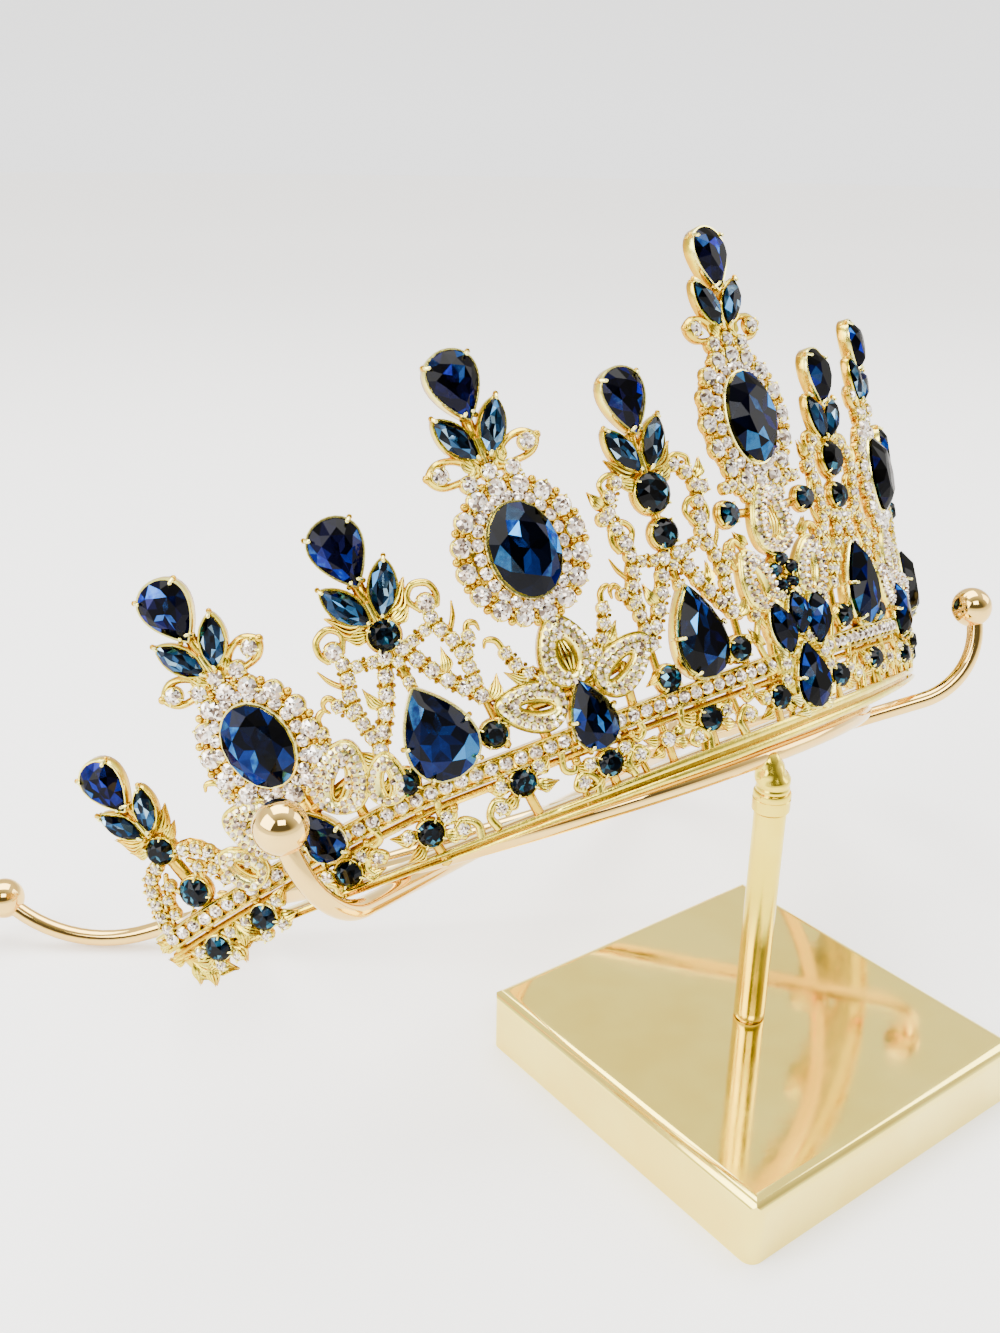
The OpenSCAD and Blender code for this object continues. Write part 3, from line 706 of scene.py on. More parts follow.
# Tips: on every peak a violet-blue pear stands point down over two leaning steel-blue marquises,
# each in a thin folded bezel with ball claws, soldered on a short stem.
PEAR_W, PEAR_L = 8.6, 11.5
MARQUISE_W, MARQUISE_L = 4.4, 9.2
MARQUISE_LEAN = 29
TIP_FLOOR = 0.8
for k in PEAKS:
    place = peak_place(k)
    s = peak_size(k)
    h = row_of(k).tip_h
    w, l = PEAR_W * s, PEAR_L * s
    bezel(place, "pear", 0, h, w, l, 180, TIP_FLOOR, 3 * s, (135, 225, 30, 330), wall=0.42)
    set_gem("finial_pears", place, "pear", 0, h, TIP_FLOOR, w, l, 180, 3.0)
    for side in (-1, 1):
        held_gem("marquises", place, "marquise", side * 3.4 * s, h - 8 * s, MARQUISE_W * s, MARQUISE_L * s,
                 -side * MARQUISE_LEAN, TIP_FLOOR, 2.0, (0, 180), 24, 6)
    bar(place, 1, [(0, h - 4 * s), (0, h - 12 * s)], 2.2, thick=1.5)
    bar(place, 1, [(0, h - 9 * s), (0, h - 13 * s)], 1.2, z=0.8)

# Oval peaks: a large oval in a double halo. The outer halo is a scalloped row of cups, the inner one a tight
# ring of smaller stones, and two open loops with a stone at the end stand off the stem.
HALO_OUTER_D = 3.2
HALO_INNER_D = 2.1
# The clear stone that ends a loop or a branch.
END_STONE_D = 2.7
# How far the outer halo's stones stand inside the halo's edge.
HALO_INSET = 1.7
HIGH_FLOOR = 1.4


def disc(place, x, h, w, l, sides, front=FRONT):
    """A flat oval plate of the casting, behind a stone or a group of stones."""
    add_shape(metal, place, *slab(outline("oval", w, l, sides) + [x, h], BACK, front))


for k in OVAL_PEAKS:
    place = peak_place(k)
    s = peak_size(k)
    row = row_of(k)
    oval_h, w, l, rx, ry, count = row.oval_h, row.oval_w, row.oval_l, row.halo_rx, row.halo_ry, row.count
    disc(place, 0, oval_h, 2 * rx - 1.8, 2 * ry - 1.8, 48)
    add_shape(metal, lying(place, 0, oval_h), *slab(outline("oval", w + 1.4, l + 1.4, 48), 0, 1.3, 0.4))
    held_gem("halo_ovals", place, "oval", 0, oval_h, w, l, 0, HIGH_FLOOR, 3.6, (), 48, table=0.6)
    for i in range(count):
        t = radians(i * 360 / count)
        x, y = (rx - HALO_INSET) * sin(t), oval_h + (ry - HALO_INSET) * cos(t)
        clear_stone(place, x, y, HALO_OUTER_D)
        t += pi / count
        for reach, bead in ((-0.5, 0.75), (-1.6, 0.5), (-2.7, 0.6)):
            x, y = (rx + reach) * sin(t), oval_h + (ry + reach) * cos(t)
            grain(place, x, y, FRONT + 0.1, bead)
    inner = int(count * 1.55)
    for i in range(inner):
        t = radians((i + 0.5) * 360 / inner)
        x, y = (w / 2 + 1.35) * sin(t), oval_h + (l / 2 + 1.2) * cos(t)
        way = (sin(t) * 0.35, cos(t) * 0.35, 1.0)
        ring = outline("oval", HALO_INNER_D, HALO_INNER_D, 10)
        add_shape(settings, lying(place, x, y, 1.0, 0, way), *rim_of(
            ring, [(0.14, -0.6), (0.14, 0.3), (0.0, 0.38), (-0.1, -0.6)]))
        add_shape(stones["rhinestones"], lying(place, x, y, 1.1, 0, way),
                  *cut_gem("oval", HALO_INNER_D, HALO_INNER_D, 0.9, 8, 0.5, spread=30))
    top = oval_h + ry
    loop_h = row.tip_h - 12.4 * s
    bar(place, 1, [(0, row.tip_h - 11 * s), (0, top - 1)], 2.2)
    for x, y in ((0, top + 1.3), (-4 * s, top + 0.5), (4 * s, top + 0.5)):
        disc(place, x, y, 3.2, 3.2, 14)
        clear_stone(place, x, y, 2.6)
    for side in (-1, 1):
        ring = mirrored([(1.6, loop_h - 1.9), (4.4, loop_h + 1.2), (7.8 * s, loop_h + 1.9),
                         (9.9 * s, loop_h + 0.2), (8.4 * s, loop_h - 1.8), (5.0, loop_h - 2.2)], side)
        add_shape(metal, place, *wire(curve(flat_path(ring, 0.2), 6, True), 1.3, 1.8, 8, True))
        clear_stone(place, side * 8.1 * s, loop_h, END_STONE_D)
        grain(place, side * 10.2 * s, loop_h + 0.4, 0.4, 0.8)
        bar(place, side, [(0.8, row.tip_h - 11.5 * s), (2.6, loop_h - 1.4), (4.4, top - 1.5)], 1.3)
        hook = [(1.0, top + 3.2), (2.4, top + 4.6), (2.2, top + 2.6), (3.2, top + 1.6)]
        scroll(place, side, hook, 0.9)
        ribbed_leaf(place, side, 0.9, loop_h - 1.6, 4.4 * s, loop_h + 2.6 * s, 2.0)

# Leaves and petals: domed castings with an open slit, and a raised rim round the edge and round the slit.
# Rows of tiny clear stones are set all round between the two, with grains of gold between them, and three
# bare gold ribs fan out inside the slit of a petal.
PAVE_D = 1.16
PAVE_PITCH = 1.27
PAVE_ROWS = 8
LEAF_RISE = 1.5
# How far the first row of stones stands from the edge, and how close a row may come to the slit.
PAVE_INSET, SLIT_EDGE = 0.85, 0.62
# How much a leaf narrows to its tip, and its slit's length, setback and width as shares of the leaf's.
LEAF_NARROWS = 0.28
SLIT_L, SLIT_BACK, SLIT_W, PETAL_SLIT_W = 0.46, 0.16, 0.2, 0.3


def leaf(place, x, h, rx, ry, degrees, ribs=False):
    at = lying(place, x, h, 0, degrees)
    n = 64
    t = np.arange(n) * 2 * pi / n
    edge = np.column_stack([rx * np.cos(t), ry * np.sin(t) * (1 - LEAF_NARROWS * np.cos(t))])
    slit = np.column_stack([SLIT_L * rx * np.cos(t) - SLIT_BACK * rx,
                            (PETAL_SLIT_W if ribs else SLIT_W) * ry * np.sin(t)])
    width = np.linalg.norm(edge - slit, axis=1)

    def dome(share):
        return FRONT + 0.1 + LEAF_RISE * np.clip(4 * share * (1 - share), 0, 1) ** 0.55

    section = [(u, dome(u)) for u in (0, 0.05, 0.18, 0.5, 0.82, 0.95, 1)]
    section += [(1, BACK + 0.3), (0.94, BACK), (0.06, BACK), (0, BACK + 0.3)]
    rows = [np.column_stack([slit + (edge - slit) * u, np.full(n, z)]) for u, z in section]
    add_shape(metal, at, np.vstack(rows), ring_faces(len(rows), n, True))
    for rim, thick in ((edge * 0.985, 0.62), (slit, 0.5)):
        add_shape(metal, at, *wire(np.column_stack([rim, np.full(n, FRONT + 0.35)]), thick, thick, 6, True))
    inward = -outward(edge[::-1])[::-1]
    for j in range(PAVE_ROWS):
        deep = PAVE_INSET + j * PAVE_PITCH * 0.93
        line = edge + inward * deep
        far = np.append(0, np.cumsum(np.linalg.norm(np.roll(line, -1, axis=0) - line, axis=1)))
        count = max(int(far[-1] / PAVE_PITCH), 1)
        for step in range(count):
            spot = (step + 0.5 * (j % 2)) * far[-1] / count
            i = min(int(np.searchsorted(far, spot, "right")) - 1, n - 1)
            if deep > width[i] - SLIT_EDGE:
                continue
            part = (spot - far[i]) / max(far[i + 1] - far[i], 1e-6)
            p = line[i] + (line[(i + 1) % n] - line[i]) * part
            slope = (dome((deep + 0.05) / width[i]) - dome((deep - 0.05) / width[i])) / 0.1
            seat = lying(at, p[0], p[1], dome(deep / width[i]) - 0.1, 0,
                         (-slope * inward[i, 0], -slope * inward[i, 1], 1))
            add_shape(stones["pave_stones"], seat, *chip(PAVE_D, 0.55))
            knob = p + np.array([-inward[i, 1], inward[i, 0]]) * PAVE_PITCH / 2 + inward[i] * 0.55
            grain(at, *knob, dome(min((deep + 0.55) / width[i], 1)) + 0.12, 0.2, 5, 2)
    if ribs:
        for j in (-1, 0, 1):
            fan = [(-0.66 * rx, 0.05 * j * ry, 0.6), (-0.2 * rx, 0.17 * j * ry, 1.3),
                   (0.26 * rx, 0.1 * j * ry, 0.9)]
            add_shape(metal, at, *wire(curve(fan, 4), 0.55, 0.8, 6, taper=(0.7, 1.2, 0.6)))


for k in OVAL_PEAKS:
    place = peak_place(k)
    s = peak_size(k)
    row = row_of(k)
    drop_h = row.drop_h
    under_halo = row.oval_h - row.halo_ry
    if k == MIDDLE:
        leaf(place, 0, 37.2, 7.2, 5.4, 90, True)
        leaf(place, -8.2, 26.6, 6.0, 4.2, 108)
        leaf(place, 8.2, 26.6, 6.0, 4.2, 72)
        continue
    if steps_of(k) == 2:
        leaf(place, 0, under_halo - 5.3, 6.2, 4.8, 90, True)
    for side in (-1, 1):
        if steps_of(k) == 4:
            leaf(place, side * 8.0, drop_h + 6.6, 6.2, 4.8, 90 - side * 44)
            leaf(place, side * 14.2, drop_h + 2.4, 4.4, 3.2, 90 - side * 26)
            bar(place, side, [(9.0, drop_h + 5), (13.6, drop_h + 0.6), (13.8, channel_of(k))], 1.8)
        else:
            leaf(place, side * 9.0, drop_h + 5.4, 6.3, 4.1, 90 - side * 66)
        spray = [(5.4, drop_h + 8.6 * s), (8.0, drop_h + 11.6 * s), (9.4, drop_h + 15.2 * s)]
        stone_row(place, side, spray, 1.8, 2.0, 1.6)
        hook = [(9.4, drop_h + 15 * s), (10.0, drop_h + 17.6 * s), (11.6, drop_h + 18.4 * s),
                (12.4, drop_h + 17.4 * s)]
        scroll(place, side, hook, 1.2, 0.4, (1.1, 1, 0.4))
        ribbed_leaf(place, side, 6.4, drop_h + 9.4 * s, 10.8 * s, drop_h + 12.4 * s, 2.0)
        ribbed_leaf(place, side, 2.6, drop_h + 7.2 * s, 5.8 * s, drop_h + 11.4 * s, 1.8)
    held_gem("drop_pears", place, "pear", 0, drop_h, row.drop_w, row.drop_l, 0, 1.15, 3.0,
             (90, 270, 150, 210))
    bar(place, 1, [(0, under_halo + 1), (0, channel_of(k) - 1)], 3.2)
    for side in (-1, 1):
        bar(place, side, [(0, drop_h + 4.4 * s), (8.9 * s, drop_h + 5.4 * s)], 2.2)
        bar(place, side, [(8.9 * s, drop_h + 5.4 * s), (8.9 * s - 1, channel_of(k))], 1.9)

# Middle flower: a rosette of five dark stones between three pave petals, over a cluster of two leaning
# marquises, a small upright one and a pear that hangs to the rail.
SMALL_BLUE = 4.5
FLOWER_H = 26.6
PETAL_D = 2.7


def blue_round(place, x, h, floor=0.8):
    disc(place, x, h, SMALL_BLUE + 0.9, SMALL_BLUE + 0.9, 20)
    cup(place, x, h, SMALL_BLUE, floor - 0.1, 4, 45, 0.9, 20)
    set_gem("small_blues", place, "oval", x, h, floor, SMALL_BLUE, SMALL_BLUE, facet_draw.uniform(0, 45), 1.9)


place = peak_place(MIDDLE)
disc(place, 0, FLOWER_H, 8.2, 8.2, 24)
for i in range(5):
    x, h = 2.6 * sin(radians(72 * i)), FLOWER_H + 2.6 * cos(radians(72 * i))
    cup(place, x, h, PETAL_D, 0.7, 3, 90 - 72 * i)
    set_gem("small_blues", place, "oval", x, h, 0.8, PETAL_D, PETAL_D, 0, 1.6)
add_shape(settings, lying(place, 0, FLOWER_H, 1.3), *ball(0.6))
bar(place, 1, [(0, 23), (0, 33)], 3.2)
disc(place, 0, 12.4, 16, 22.2, 40, 1.3)
for side in (-1, 1):
    bar(place, side, [(2, FLOWER_H), (8, FLOWER_H)], 2.6)
    bar(place, side, [(2.6, 38.6), (11.4, 39.2)], 1.8)
    blue_round(place, side * 11.4, 39.2)
    held_gem("cluster_stones", place, "marquise", side * 5.4, 17, 5.2, 9.8, -side * 12, HIGH_FLOOR, 3.0,
             (0, 180), 24)
    stone_row(place, side, [(4.6, 41.6), (7.4, 44.0), (10.2, 43.8)], 1.9, 2.1, 1.6)
    scroll(place, side, [(7.4, 9), (9.8, 12), (11.2, 16), (9.6, 19.5), (8, 18)], 1.3, 0.6)
    curl = [(8.6, 32), (11.4, 34.4), (13.6, 32.6), (12.6, 29.6), (10.8, 30.4)]
    scroll(place, side, curl, 1.3, 0.4)
    for x0, h0, x1, h1 in ((7.6, 9.6, 11.6, 12.8), (9.4, 15.0, 12.6, 18.6), (7.6, 33.2, 10.6, 36.0)):
        ribbed_leaf(place, side, x0, h0, x1, h1, 2.0)
    clear_stone(place, side * 10.4, 20.6, 2.0)
    for x, h, d in ((2.9, 14.0, 2.0), (5.9, 10.6, 2.2), (6.7, 7.8, 2.0), (2.4, 22.6, 1.8)):
        clear_stone(place, side * x, h, d, 1.3)
    for x0, h0, x1, h1 in ((3.2, 3.6, 7.4, 4.8), (4.4, 11.6, 7.8, 14.2), (2.0, 1.8, 5.6, 1.2)):
        ribbed_leaf(place, side, x0, h0, x1, h1, 2.0, 0.9)
held_gem("cluster_stones", place, "marquise", 0, 18.9, 4.2, 8, 0, HIGH_FLOOR, 3.0, (0, 180), 24)
held_gem("cluster_stones", place, "pear", 0, 7.2, 8.6, 12.2, 0, HIGH_FLOOR, 3.0, (90, 270))

# Round peaks: a round stone over a spray. Two strands of small stones spread from it round a big pear,
# branches with a hooked end stand outside them, and ribbed gold leaves fill the corner under the tip.
STRAND = [(1.6, 35), (4.9, 28.2), (9.3, 22)]
STRAND_D = 2.3
BRANCH = [(9.5, 24.6), (9.8, 28.6), (9.4, 32.4), (8.2, 35.4), (8.0, 37.2)]
# Place and height of the stone that ends each branch.
BUD_X, BUD_H = 8.4, 39.6


for k in ROUND_PEAKS:
    place = peak_place(k)
    s = peak_size(k)
    row = row_of(k)
    round_h, round_d, second_h, second_d = row.round_h, row.round_d, row.second_h, row.second_d
    disc(place, 0, round_h, round_d + 1, round_d + 1, 28)
    cup(place, 0, round_h, round_d, 0.7, 4, 45, 1.1, 24)
    set_gem("round_stones", place, "oval", 0, round_h, 0.8, round_d, round_d, 0, 2.2)
    top = round_h + round_d / 2
    bar(place, 1, [(0, top), (0, row.tip_h - 10 * s)], 2.2)
    for side in (-1, 1):
        ribbed_leaf(place, side, 1.0, top + 0.4, 7.2 * s, top + 4.2 * s, 3.2 * s)
        ribbed_leaf(place, side, 1.6, top - 1.2, 6.4 * s, top + 0.4 * s, 2.2 * s)
    if second_d:
        disc(place, 0, second_h, second_d + 1, second_d + 1, 24)
        cup(place, 0, second_h, second_d, 0.7, 4, 45, 1.0, 20)
        set_gem("round_stones", place, "oval", 0, second_h, 0.8, second_d, second_d, 22, 2.0)
    if steps_of(k) == 5:
        bar(place, 1, [(0, round_h), (0, channel_of(k))], 2.8)
        for side in (-1, 1):
            bar(place, side, [(1, 18.4), (6, 16.6), (9.4, channel_of(k))], 2.2)
            stone_row(place, side, [(3.2, 17.8), (6.2, 16.0), (8.8, 10.2), (9.2, 8.2)], 2.0, 2.2)
            stone_row(place, side, [(3.4, 14.0), (5.4, 12.4), (6.2, 9.6)], 1.7, 1.9)
            scroll(place, side, [(2.6, 12), (3.6, 14.4), (2.6, 16)], 1.0, 0.5)
            ribbed_leaf(place, side, 3.0, 8.4, 6.2, 5.4, 2.0)
        continue
    held_gem("big_pears", place, "pear", 0, row.big_h, row.big_w, row.big_l, 0, HIGH_FLOOR, 3.6,
             (90, 270, 145, 215), 40, table=0.6)
    bar(place, 1, [(0, round_h), (0, 27)], 2.0)
    stone_row(place, 1, [(0, 33.4), (0, 29.6)], 1.7, 1.9, 1.8)
    bar(place, 1, [(0, 15), (0, 10.7)], 3.8)
    for side in (-1, 1):
        stone_row(place, side, STRAND, STRAND_D, 2.55)
        bar(place, side, [(9.3, 12.4), (9.6, 22), (9.6, 33), (7.9, 37), (BUD_X, BUD_H)], 1.5)
        stone_row(place, side, BRANCH, 2.0, 2.25, 1.7)
        disc(place, side * BUD_X, BUD_H, 3.6, 3.6, 16)
        clear_stone(place, side * BUD_X, BUD_H, END_STONE_D)
        stone_row(place, side, [(6.2, 35.8), (3.6, 35.2)], 1.7, 2.0, 1.5)
        bar(place, side, [(8.2, 36.4), (1.4, 34.6)], 1.5)
        hook = [(7.2, 38.8), (6.0, 41.4), (7.6, 43.2), (10.0, 42.4), (10.6, 40.2), (9.8, 38.4)]
        scroll(place, side, hook, 1.35, 0.4, (0.8, 1, 0.8))
        stone_row(place, side, [(10.4, 29.4), (11.9, 31.6)], 1.8, 2.0, 1.5)
        curl = [(11.4, 31), (12.6, 33.4), (13.9, 33.0), (14.0, 31.6)]
        scroll(place, side, curl, 1.2, 0.3, (1, 1, 0.4))
        scroll(place, side, [(9.4, 33.4), (11.2, 35.6), (12.2, 38.0)], 1.1, 0.3, (1, 0.9, 0.3))
        ribbed_leaf(place, side, 9.8, 20.6, 13.2, 24.0, 2.2)
        ribbed_leaf(place, side, 5.2, 27.6, 7.2, 32.2, 1.8)
        ribbed_leaf(place, side, 9.4, 17.6, 12.8, 15.4, 2.0)
        blue_round(place, side * 8.2, 15.4)
        if second_d:
            stone_row(place, side, [(9.2, 42.4), (9.5, 46.6), (6.4, 49.8)], 2.2, 2.6, 1.6)
            scroll(place, side, [(4.8, 50), (7.2, 51.4), (9.6, 50.4), (9.4, 48.2)], 1.1, 0.5)
            clear_stone(place, side * 11.0, 44.6, 2.2)
            ribbed_leaf(place, side, 9.8, 46.4, 12.4, 49.8, 2.0)

# Band: a ribbed base rail and a channel of clear stones follow the whole wall. Round blue stones and small
# scrolls are soldered between the two, and the rail ends in a sprig of gold leaves on each side.
ROUND_WALL = np.linspace(-HALF_ARC, HALF_ARC, 141)


def wall_rail(low, high, back, front, bulge=0.25):
    """A rail of soft square section along the wall, from its lower and upper edge at each angle."""
    section = [(0.0, 0.15), (0.0, 0.85), (0.1, 1.0), (0.5, 1.0 + bulge), (0.9, 1.0), (1.0, 0.85), (1.0, 0.15),
               (0.9, 0.0), (0.1, 0.0)]
    m = len(section)
    points, levels = [], []
    for a in ROUND_WALL:
        for u, v in section:
            n = back + (front - back) * v
            points.append(wall_point(a, low(a) + (high(a) - low(a)) * u, n))
            levels.append(n)
    rings = len(ROUND_WALL)
    faces = [face[::-1] for face in ring_faces(rings, m) + end_faces(rings, m)]
    add_shape(metal, AS_IS, points, faces)
    # The rail's distance out from the wall is its height for the painted shade and highlight.
    metal["height"][-1] = np.array(levels)


RAIL_LOW = -2.4
RAIL_LIFT = 2.2
LIFT_OVER = 38


def rail_low(a):
    """The height of the rail's lower edge, which is lifted from the second peak outwards."""
    return RAIL_LOW + RAIL_LIFT * min(1, max(0, abs(a) - PEAK_STEP) / LIFT_OVER)


wall_rail(rail_low, lambda a: 1.2, -2.6, 0.5, 0.0)
wall_rail(rail_low, lambda a: rail_low(a) * 0.55 + 0.25, 0.3, 1.15)
wall_rail(lambda a: rail_low(a) * 0.35 + 0.55, lambda a: 1.15, 0.3, 1.1)
wall_rail(lambda a: channel_at(a) - 1.8, lambda a: channel_at(a) + 1.8, -0.9, 0.6, 0.0)
for edge_h in (-1.8, 1.2):
    wall_rail(lambda a: channel_at(a) + edge_h, lambda a: channel_at(a) + edge_h + 0.6, 0.4, 1.5)
wall_rail(lambda a: channel_at(a) - 3.5, lambda a: channel_at(a) - 2.2, -0.6, 0.9, 0.5)
CHANNEL_PITCH = 2.55
CHANNEL_D = 2.25
CHANNEL_R = 106.5
# The middle cluster covers the channel for as many degrees on each side.
CLUSTER_REACH = 4.2
for a in np.arange(-HALF_ARC + 1.2, HALF_ARC - 0.6, np.degrees(CHANNEL_PITCH / CHANNEL_R)):
    if abs(a) < CLUSTER_REACH:
        continue
    place = wall_place(a)
    h = channel_at(a)
    add_shape(settings, lying(place, 0, h, 0), *rim_of(
        outline("oval", CHANNEL_D, CHANNEL_D, 12), [(0.12, 0.3), (0.14, 1.2), (0.02, 1.28), (-0.15, 0.3)]))
    set_gem("rhinestones", place, "oval", 0, h, 0.85, CHANNEL_D, CHANNEL_D, facet_draw.uniform(0, 45), 1.05)


def band_blue(k):
    """Where the blue stones of a peak stand in the band."""
    way = 1 if k > MIDDLE else -1
    return {0: [(-9.4, 5.2), (9.4, 5.2)], 1: [(way * 2.4, 6.2)], 2: [(0, 5)], 3: [(-8.6, 6), (8.6, 6)],
            4: [(0, 3.7)], 5: [(way * 3.2, 0.8), (-way * 7.6, 0.8)]}[steps_of(k)]


def beside_blue(k, x):
    """Where small clear stones stand round a blue one, clear of the scrolls."""
    return {0: [(3.7 if x > 0 else -3.7, 0.6)], 1: [(-3.7 if k > MIDDLE else 3.7, 0.2)],
            2: [(3.4, 1.3), (-3.4, 1.3)], 3: [(3.5, 1.2), (-3.5, 1.2)], 4: [(3.4, 1.3), (-3.4, 1.3)],
            5: [(3.6, 1.0), (-3.6, 1.0), (2.0, -2.9), (-2.0, -2.9)]}[steps_of(k)]


for k in PEAKS:
    place = peak_place(k)
    high = channel_of(k) - 0.8
    for x, h in band_blue(k):
        blue_round(place, x, h, 1.3 if steps_of(k) == 5 else 0.8)
        bar(place, 1, [(x, 0), (x, high)], 1.8)
        for side in (-1, 1):
            ribbed_leaf(place, 1, x + side * 1.8, h + 0.9, x + side * 6.4, h + 2.3, 2.6)
            ribbed_leaf(place, 1, x + side * 1.8, h - 1.0, x + side * 5.6, h - 2.7, 2.2)
        for dx, dh in beside_blue(k, x):
            clear_stone(place, x + dx, h + dh, 1.9, 1.0)
    if steps_of(k) < 3:
        slant = 4.6 if steps_of(k) % 2 == 0 else 3.6
        for side in (-1, 1):
            bar(place, side, [(slant + 1.4, 0), (slant, high)], 1.3)
    if steps_of(k) < 5:
        x0 = {1: 5.6, 2: 5.2, 4: 5.2}.get(steps_of(k), 3.2)
        lift = high / 10.4
        curl = [(x0 - 1.6, 1.2), (x0 - 2.0, 3.6 * lift), (x0, 5.4 * lift), (x0 + 1.8, 3.8 * lift),
                (x0 + 0.6, 2.6 * lift)]
        hook = [(x0 + 2.0, high), (x0 + 2.6, 7.4 * lift), (x0 + 1.0, 6.4 * lift), (x0 + 0.2, 7.8 * lift)]
        for side in (-1, 1):
            scroll(place, side, curl, 1.45, 0.6, (1.1, 0.8))
            scroll(place, side, hook, 1.35, 0.6, (1.1, 0.8))
            grain(place, side * (x0 + 0.2), 7.8 * lift, 0.7, 0.85)
            if steps_of(k) != 0:
                clear_stone(place, side * (x0 + 0.4), 4.0 * lift, 2.1)
for side in (-1, 1):
    place = wall_place(side * 1.5 * PEAK_STEP)
    disc(place, 0, 5.2, 3.4, 3.4, 14)
    bar(place, 1, [(0, 0), (0, 9.6)], 1.6)
    clear_stone(place, 0, 5.2, 2.5)
    for x1, h1 in ((-4.4, 6.8), (4.4, 6.8), (-4.2, 3.4), (4.2, 3.4)):
        ribbed_leaf(place, 1, x1 * 0.3, 5.2 + (h1 - 5.2) * 0.4, x1, h1, 1.9)
for side in (-1, 1):
    place = wall_place(side * (HALF_ARC - 0.8))
    bar(place, 1, [(0, -1.4), (0, channel_at(HALF_ARC) + 1.8)], 2.2, thick=2.2)
    for x1, h1 in ((-5.0, -5.4), (-1.4, -6.2), (2.0, -5.0), (-7.6, -3.0)):
        ribbed_leaf(place, side, -0.6, -0.6, x1, h1, 2.4)
    for x0 in (-8.0, -13.0):
        for reach in (-3.8, -0.8, 2.2):
            ribbed_leaf(place, side, x0, 0.0, x0 + reach, -4.6, 2.3)
    for x0, h0, x1, h1, w in ((-4.2, -2.6, -6.8, -6.6, 3.0), (-9.6, -2.4, -9.2, -6.4, 2.6),
                              (-2.2, -2.8, -0.4, -6.8, 2.4), (1.0, 4.6, 3.6, 3.4, 2.0)):
        ribbed_leaf(place, side, x0, h0, x1, h1, w)
    for x1, h1 in ((3.4, 2.0), (3.0, 5.6)):
        ribbed_leaf(place, side, 0, h1 - 1.6, x1, h1, 1.8)

make_piece("cast_plates", metal, tiara_gold, ["tiara_frame"], 50)
for name, heap in (("gold_sprigs", sprigs), ("gold_grains", grains), ("stone_cups", settings)):
    make_piece(name, heap, tiara_gold, (), 50)

# Setting of the stones: each is glued on its foil into its cup or bezel, and the claws are pressed over it.
# Each piece has its glass, its slot, and the start of the names of the solids that it stands for.
for name, material, slot, starts in (
        ("finial_pears", violet_sapphire, "sapphire_glass", ("peak_pear_",)),
        ("halo_ovals", sapphire, "sapphire_glass", ("oval_stone_",)),
        ("round_stones", dark_sapphire, "sapphire_glass", ("round_stone_", "second_round_")),
        ("big_pears", sapphire, "sapphire_glass", ("big_pear_",)),
        ("drop_pears", sapphire, "sapphire_glass", ("drop_pear_",)),
        ("cluster_stones", sapphire, "sapphire_glass", ("cluster_",)),
        ("marquises", steel_sapphire, "steel_blue_glass", ("marquise_stones",)),
        ("small_blues", dark_sapphire, "sapphire_glass", ("small_blue_stones",)),
        ("rhinestones", crystal, "clear_glass", ("clear_stones",)),
        ("pave_stones", crystal, "clear_glass", ())):
    make_piece(name, stones[name], material, [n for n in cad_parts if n.startswith(starts)])

# Floor, light and camera: a plain pale table top under soft studio light, seen from in front of the left end
# and a little above.
floor_mesh = bpy.data.meshes.new("floor")
FLOOR_R = 4.0
FLOOR_SIDES = 64
spokes = np.arange(FLOOR_SIDES) * 2 * pi / FLOOR_SIDES
floor_mesh.from_pydata([(FLOOR_R * cos(a), FLOOR_R * sin(a), 0) for a in spokes], [],
                       [list(range(FLOOR_SIDES))])
floor = bpy.data.objects.new("floor", floor_mesh)
bpy.context.scene.collection.objects.link(floor)
paper, tree, shader = start_material("pale_table_top", 0.0, 0.55)
shader.inputs["Base Color"].default_value = linear("#f3f2f1")
# Painted light: the table top glows, less near the stand and more far from it, so that it meets the backdrop
# without a line.
away = add_node(tree, "ShaderNodeVectorMath", {"operation": "LENGTH"}, {0: frame_place(tree)})
glow = add_node(tree, "ShaderNodeMapRange", None, {
    "Value": away.outputs["Value"], "From Min": 0.3, "From Max": 1.8, "To Min": 0.5, "To Max": 1.28})
tree.links.new(glow.outputs["Result"], shader.inputs["Emission Strength"])
shader.inputs["Emission Color"].default_value = linear("#f3f1ee")
floor_mesh.materials.append(paper)

world = bpy.data.worlds.new("studio")
bpy.context.scene.world = world
world.use_nodes = True
tree = world.node_tree
tree.nodes.clear()
way = add_node(tree, "ShaderNodeTexCoord").outputs["Generated"]
up = add_node(tree, "ShaderNodeSeparateXYZ", None, {"Vector": way}).outputs["Z"]
sky = add_node(tree, "ShaderNodeValToRGB", None, {"Fac": up})
set_ramp(sky, [(0.0, "#ffffff"), (0.12, "#f4f2ef"), (0.35, "#cbc5bb"), (0.8, "#dcdad6")])
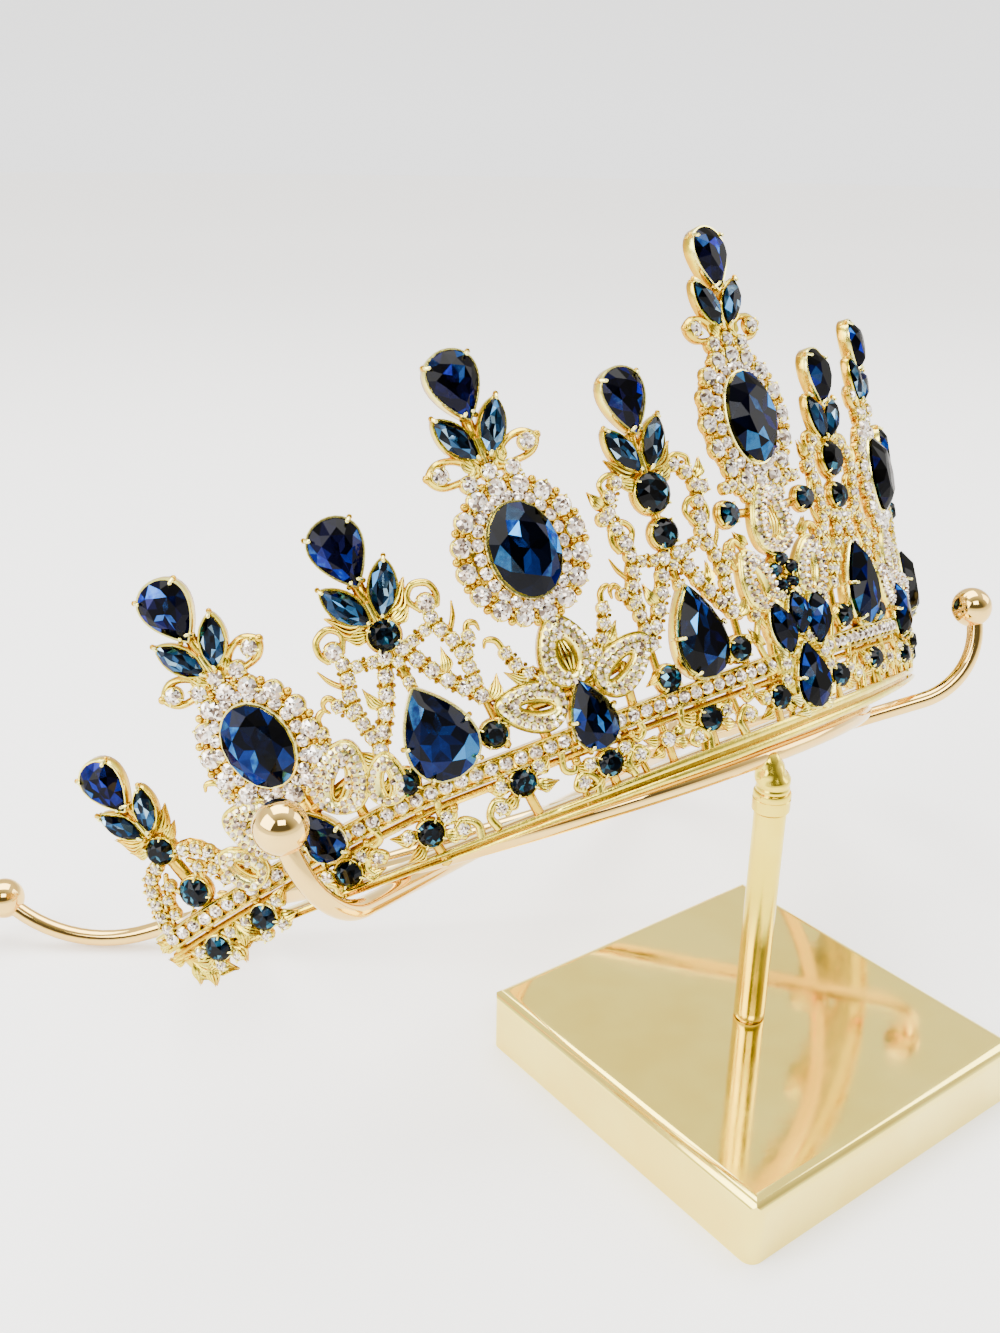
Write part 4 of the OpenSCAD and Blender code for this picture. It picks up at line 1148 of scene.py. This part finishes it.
# High on the side that the tiara faces the room is darker, which gives the stones and the gold their depth.
TIARA_FACES = (-0.45, -0.87, 0.2)
ROOM_BRIGHT, ROOM_DARK = 2.3, 0.04
facing = add_node(tree, "ShaderNodeVectorMath", {"operation": "DOT_PRODUCT"}, {0: way, 1: TIARA_FACES})
dim = add_node(tree, "ShaderNodeMapRange", None, {
    "Value": facing.outputs["Value"], "From Min": 0.2, "From Max": 0.8, "To Min": 0.0, "To Max": 0.9})
high = add_node(tree, "ShaderNodeMapRange", None, {
    "Value": up, "From Min": 0.1, "From Max": 0.24, "To Min": 0.0, "To Max": 1.0})
shade = add_node(tree, "ShaderNodeMath", {"operation": "MULTIPLY"},
                 {0: dim.outputs["Result"], 1: high.outputs["Result"]})
room = add_node(tree, "ShaderNodeMapRange", None, {
    "Value": shade.outputs["Value"], "From Min": 0.0, "From Max": 1.0,
    "To Min": ROOM_BRIGHT, "To Max": ROOM_DARK})
light = add_node(tree, "ShaderNodeBackground", None,
                 {"Color": sky.outputs["Color"], "Strength": room.outputs["Result"]})
add_node(tree, "ShaderNodeOutputWorld", None, {"Surface": light.outputs["Background"]})


# The lamps all point at the middle of the tiara.
LAMPS_AIM = Vector((0, 0.04, 0.08))


def soft_box(name, place, size, watts):
    lamp = bpy.data.lights.new(name, "AREA")
    lamp.shape = "RECTANGLE"
    lamp.size, lamp.size_y = size
    lamp.energy = watts
    holder = bpy.data.objects.new(name, lamp)
    bpy.context.scene.collection.objects.link(holder)
    holder.location = place
    holder.rotation_mode = "QUATERNION"
    holder.rotation_quaternion = (LAMPS_AIM - Vector(place)).to_track_quat("-Z", "Y")


soft_box("window_left", (-0.85, 0.1, 0.6), (0.9, 0.7), 18)
soft_box("window_top", (0.1, 0.3, 1.05), (1.0, 0.8), 23)
soft_box("window_front", (-0.35, -0.75, 0.95), (0.6, 0.4), 9)
soft_box("window_right", (0.95, -0.35, 0.6), (0.6, 0.6), 7)

camera_data = bpy.data.cameras.new("camera")
FOCAL_PX = 1337
PHOTO_H = 1333
SENSOR_MM = 36
CAMERA_PLACE = (-0.1704, -0.1421, 0.1754)
camera_data.sensor_width = SENSOR_MM
camera_data.lens = FOCAL_PX * SENSOR_MM / PHOTO_H
camera_data.clip_start = 0.01
camera_data.clip_end = 20
camera = bpy.data.objects.new("camera", camera_data)
bpy.context.scene.collection.objects.link(camera)
bearing, pitch, roll = radians(52.82), radians(22.5), radians(1.0)
ahead = Vector((cos(bearing) * cos(pitch), sin(bearing) * cos(pitch), -sin(pitch)))
right = ahead.cross(Vector((0, 0, 1))).normalized()
down = ahead.cross(right)
right, down = right * cos(roll) - down * sin(roll), right * sin(roll) + down * cos(roll)
turn = Matrix((right, -down, -ahead)).transposed()
camera.matrix_world = Matrix.Translation(CAMERA_PLACE) @ turn.to_4x4()
bpy.context.scene.camera = camera
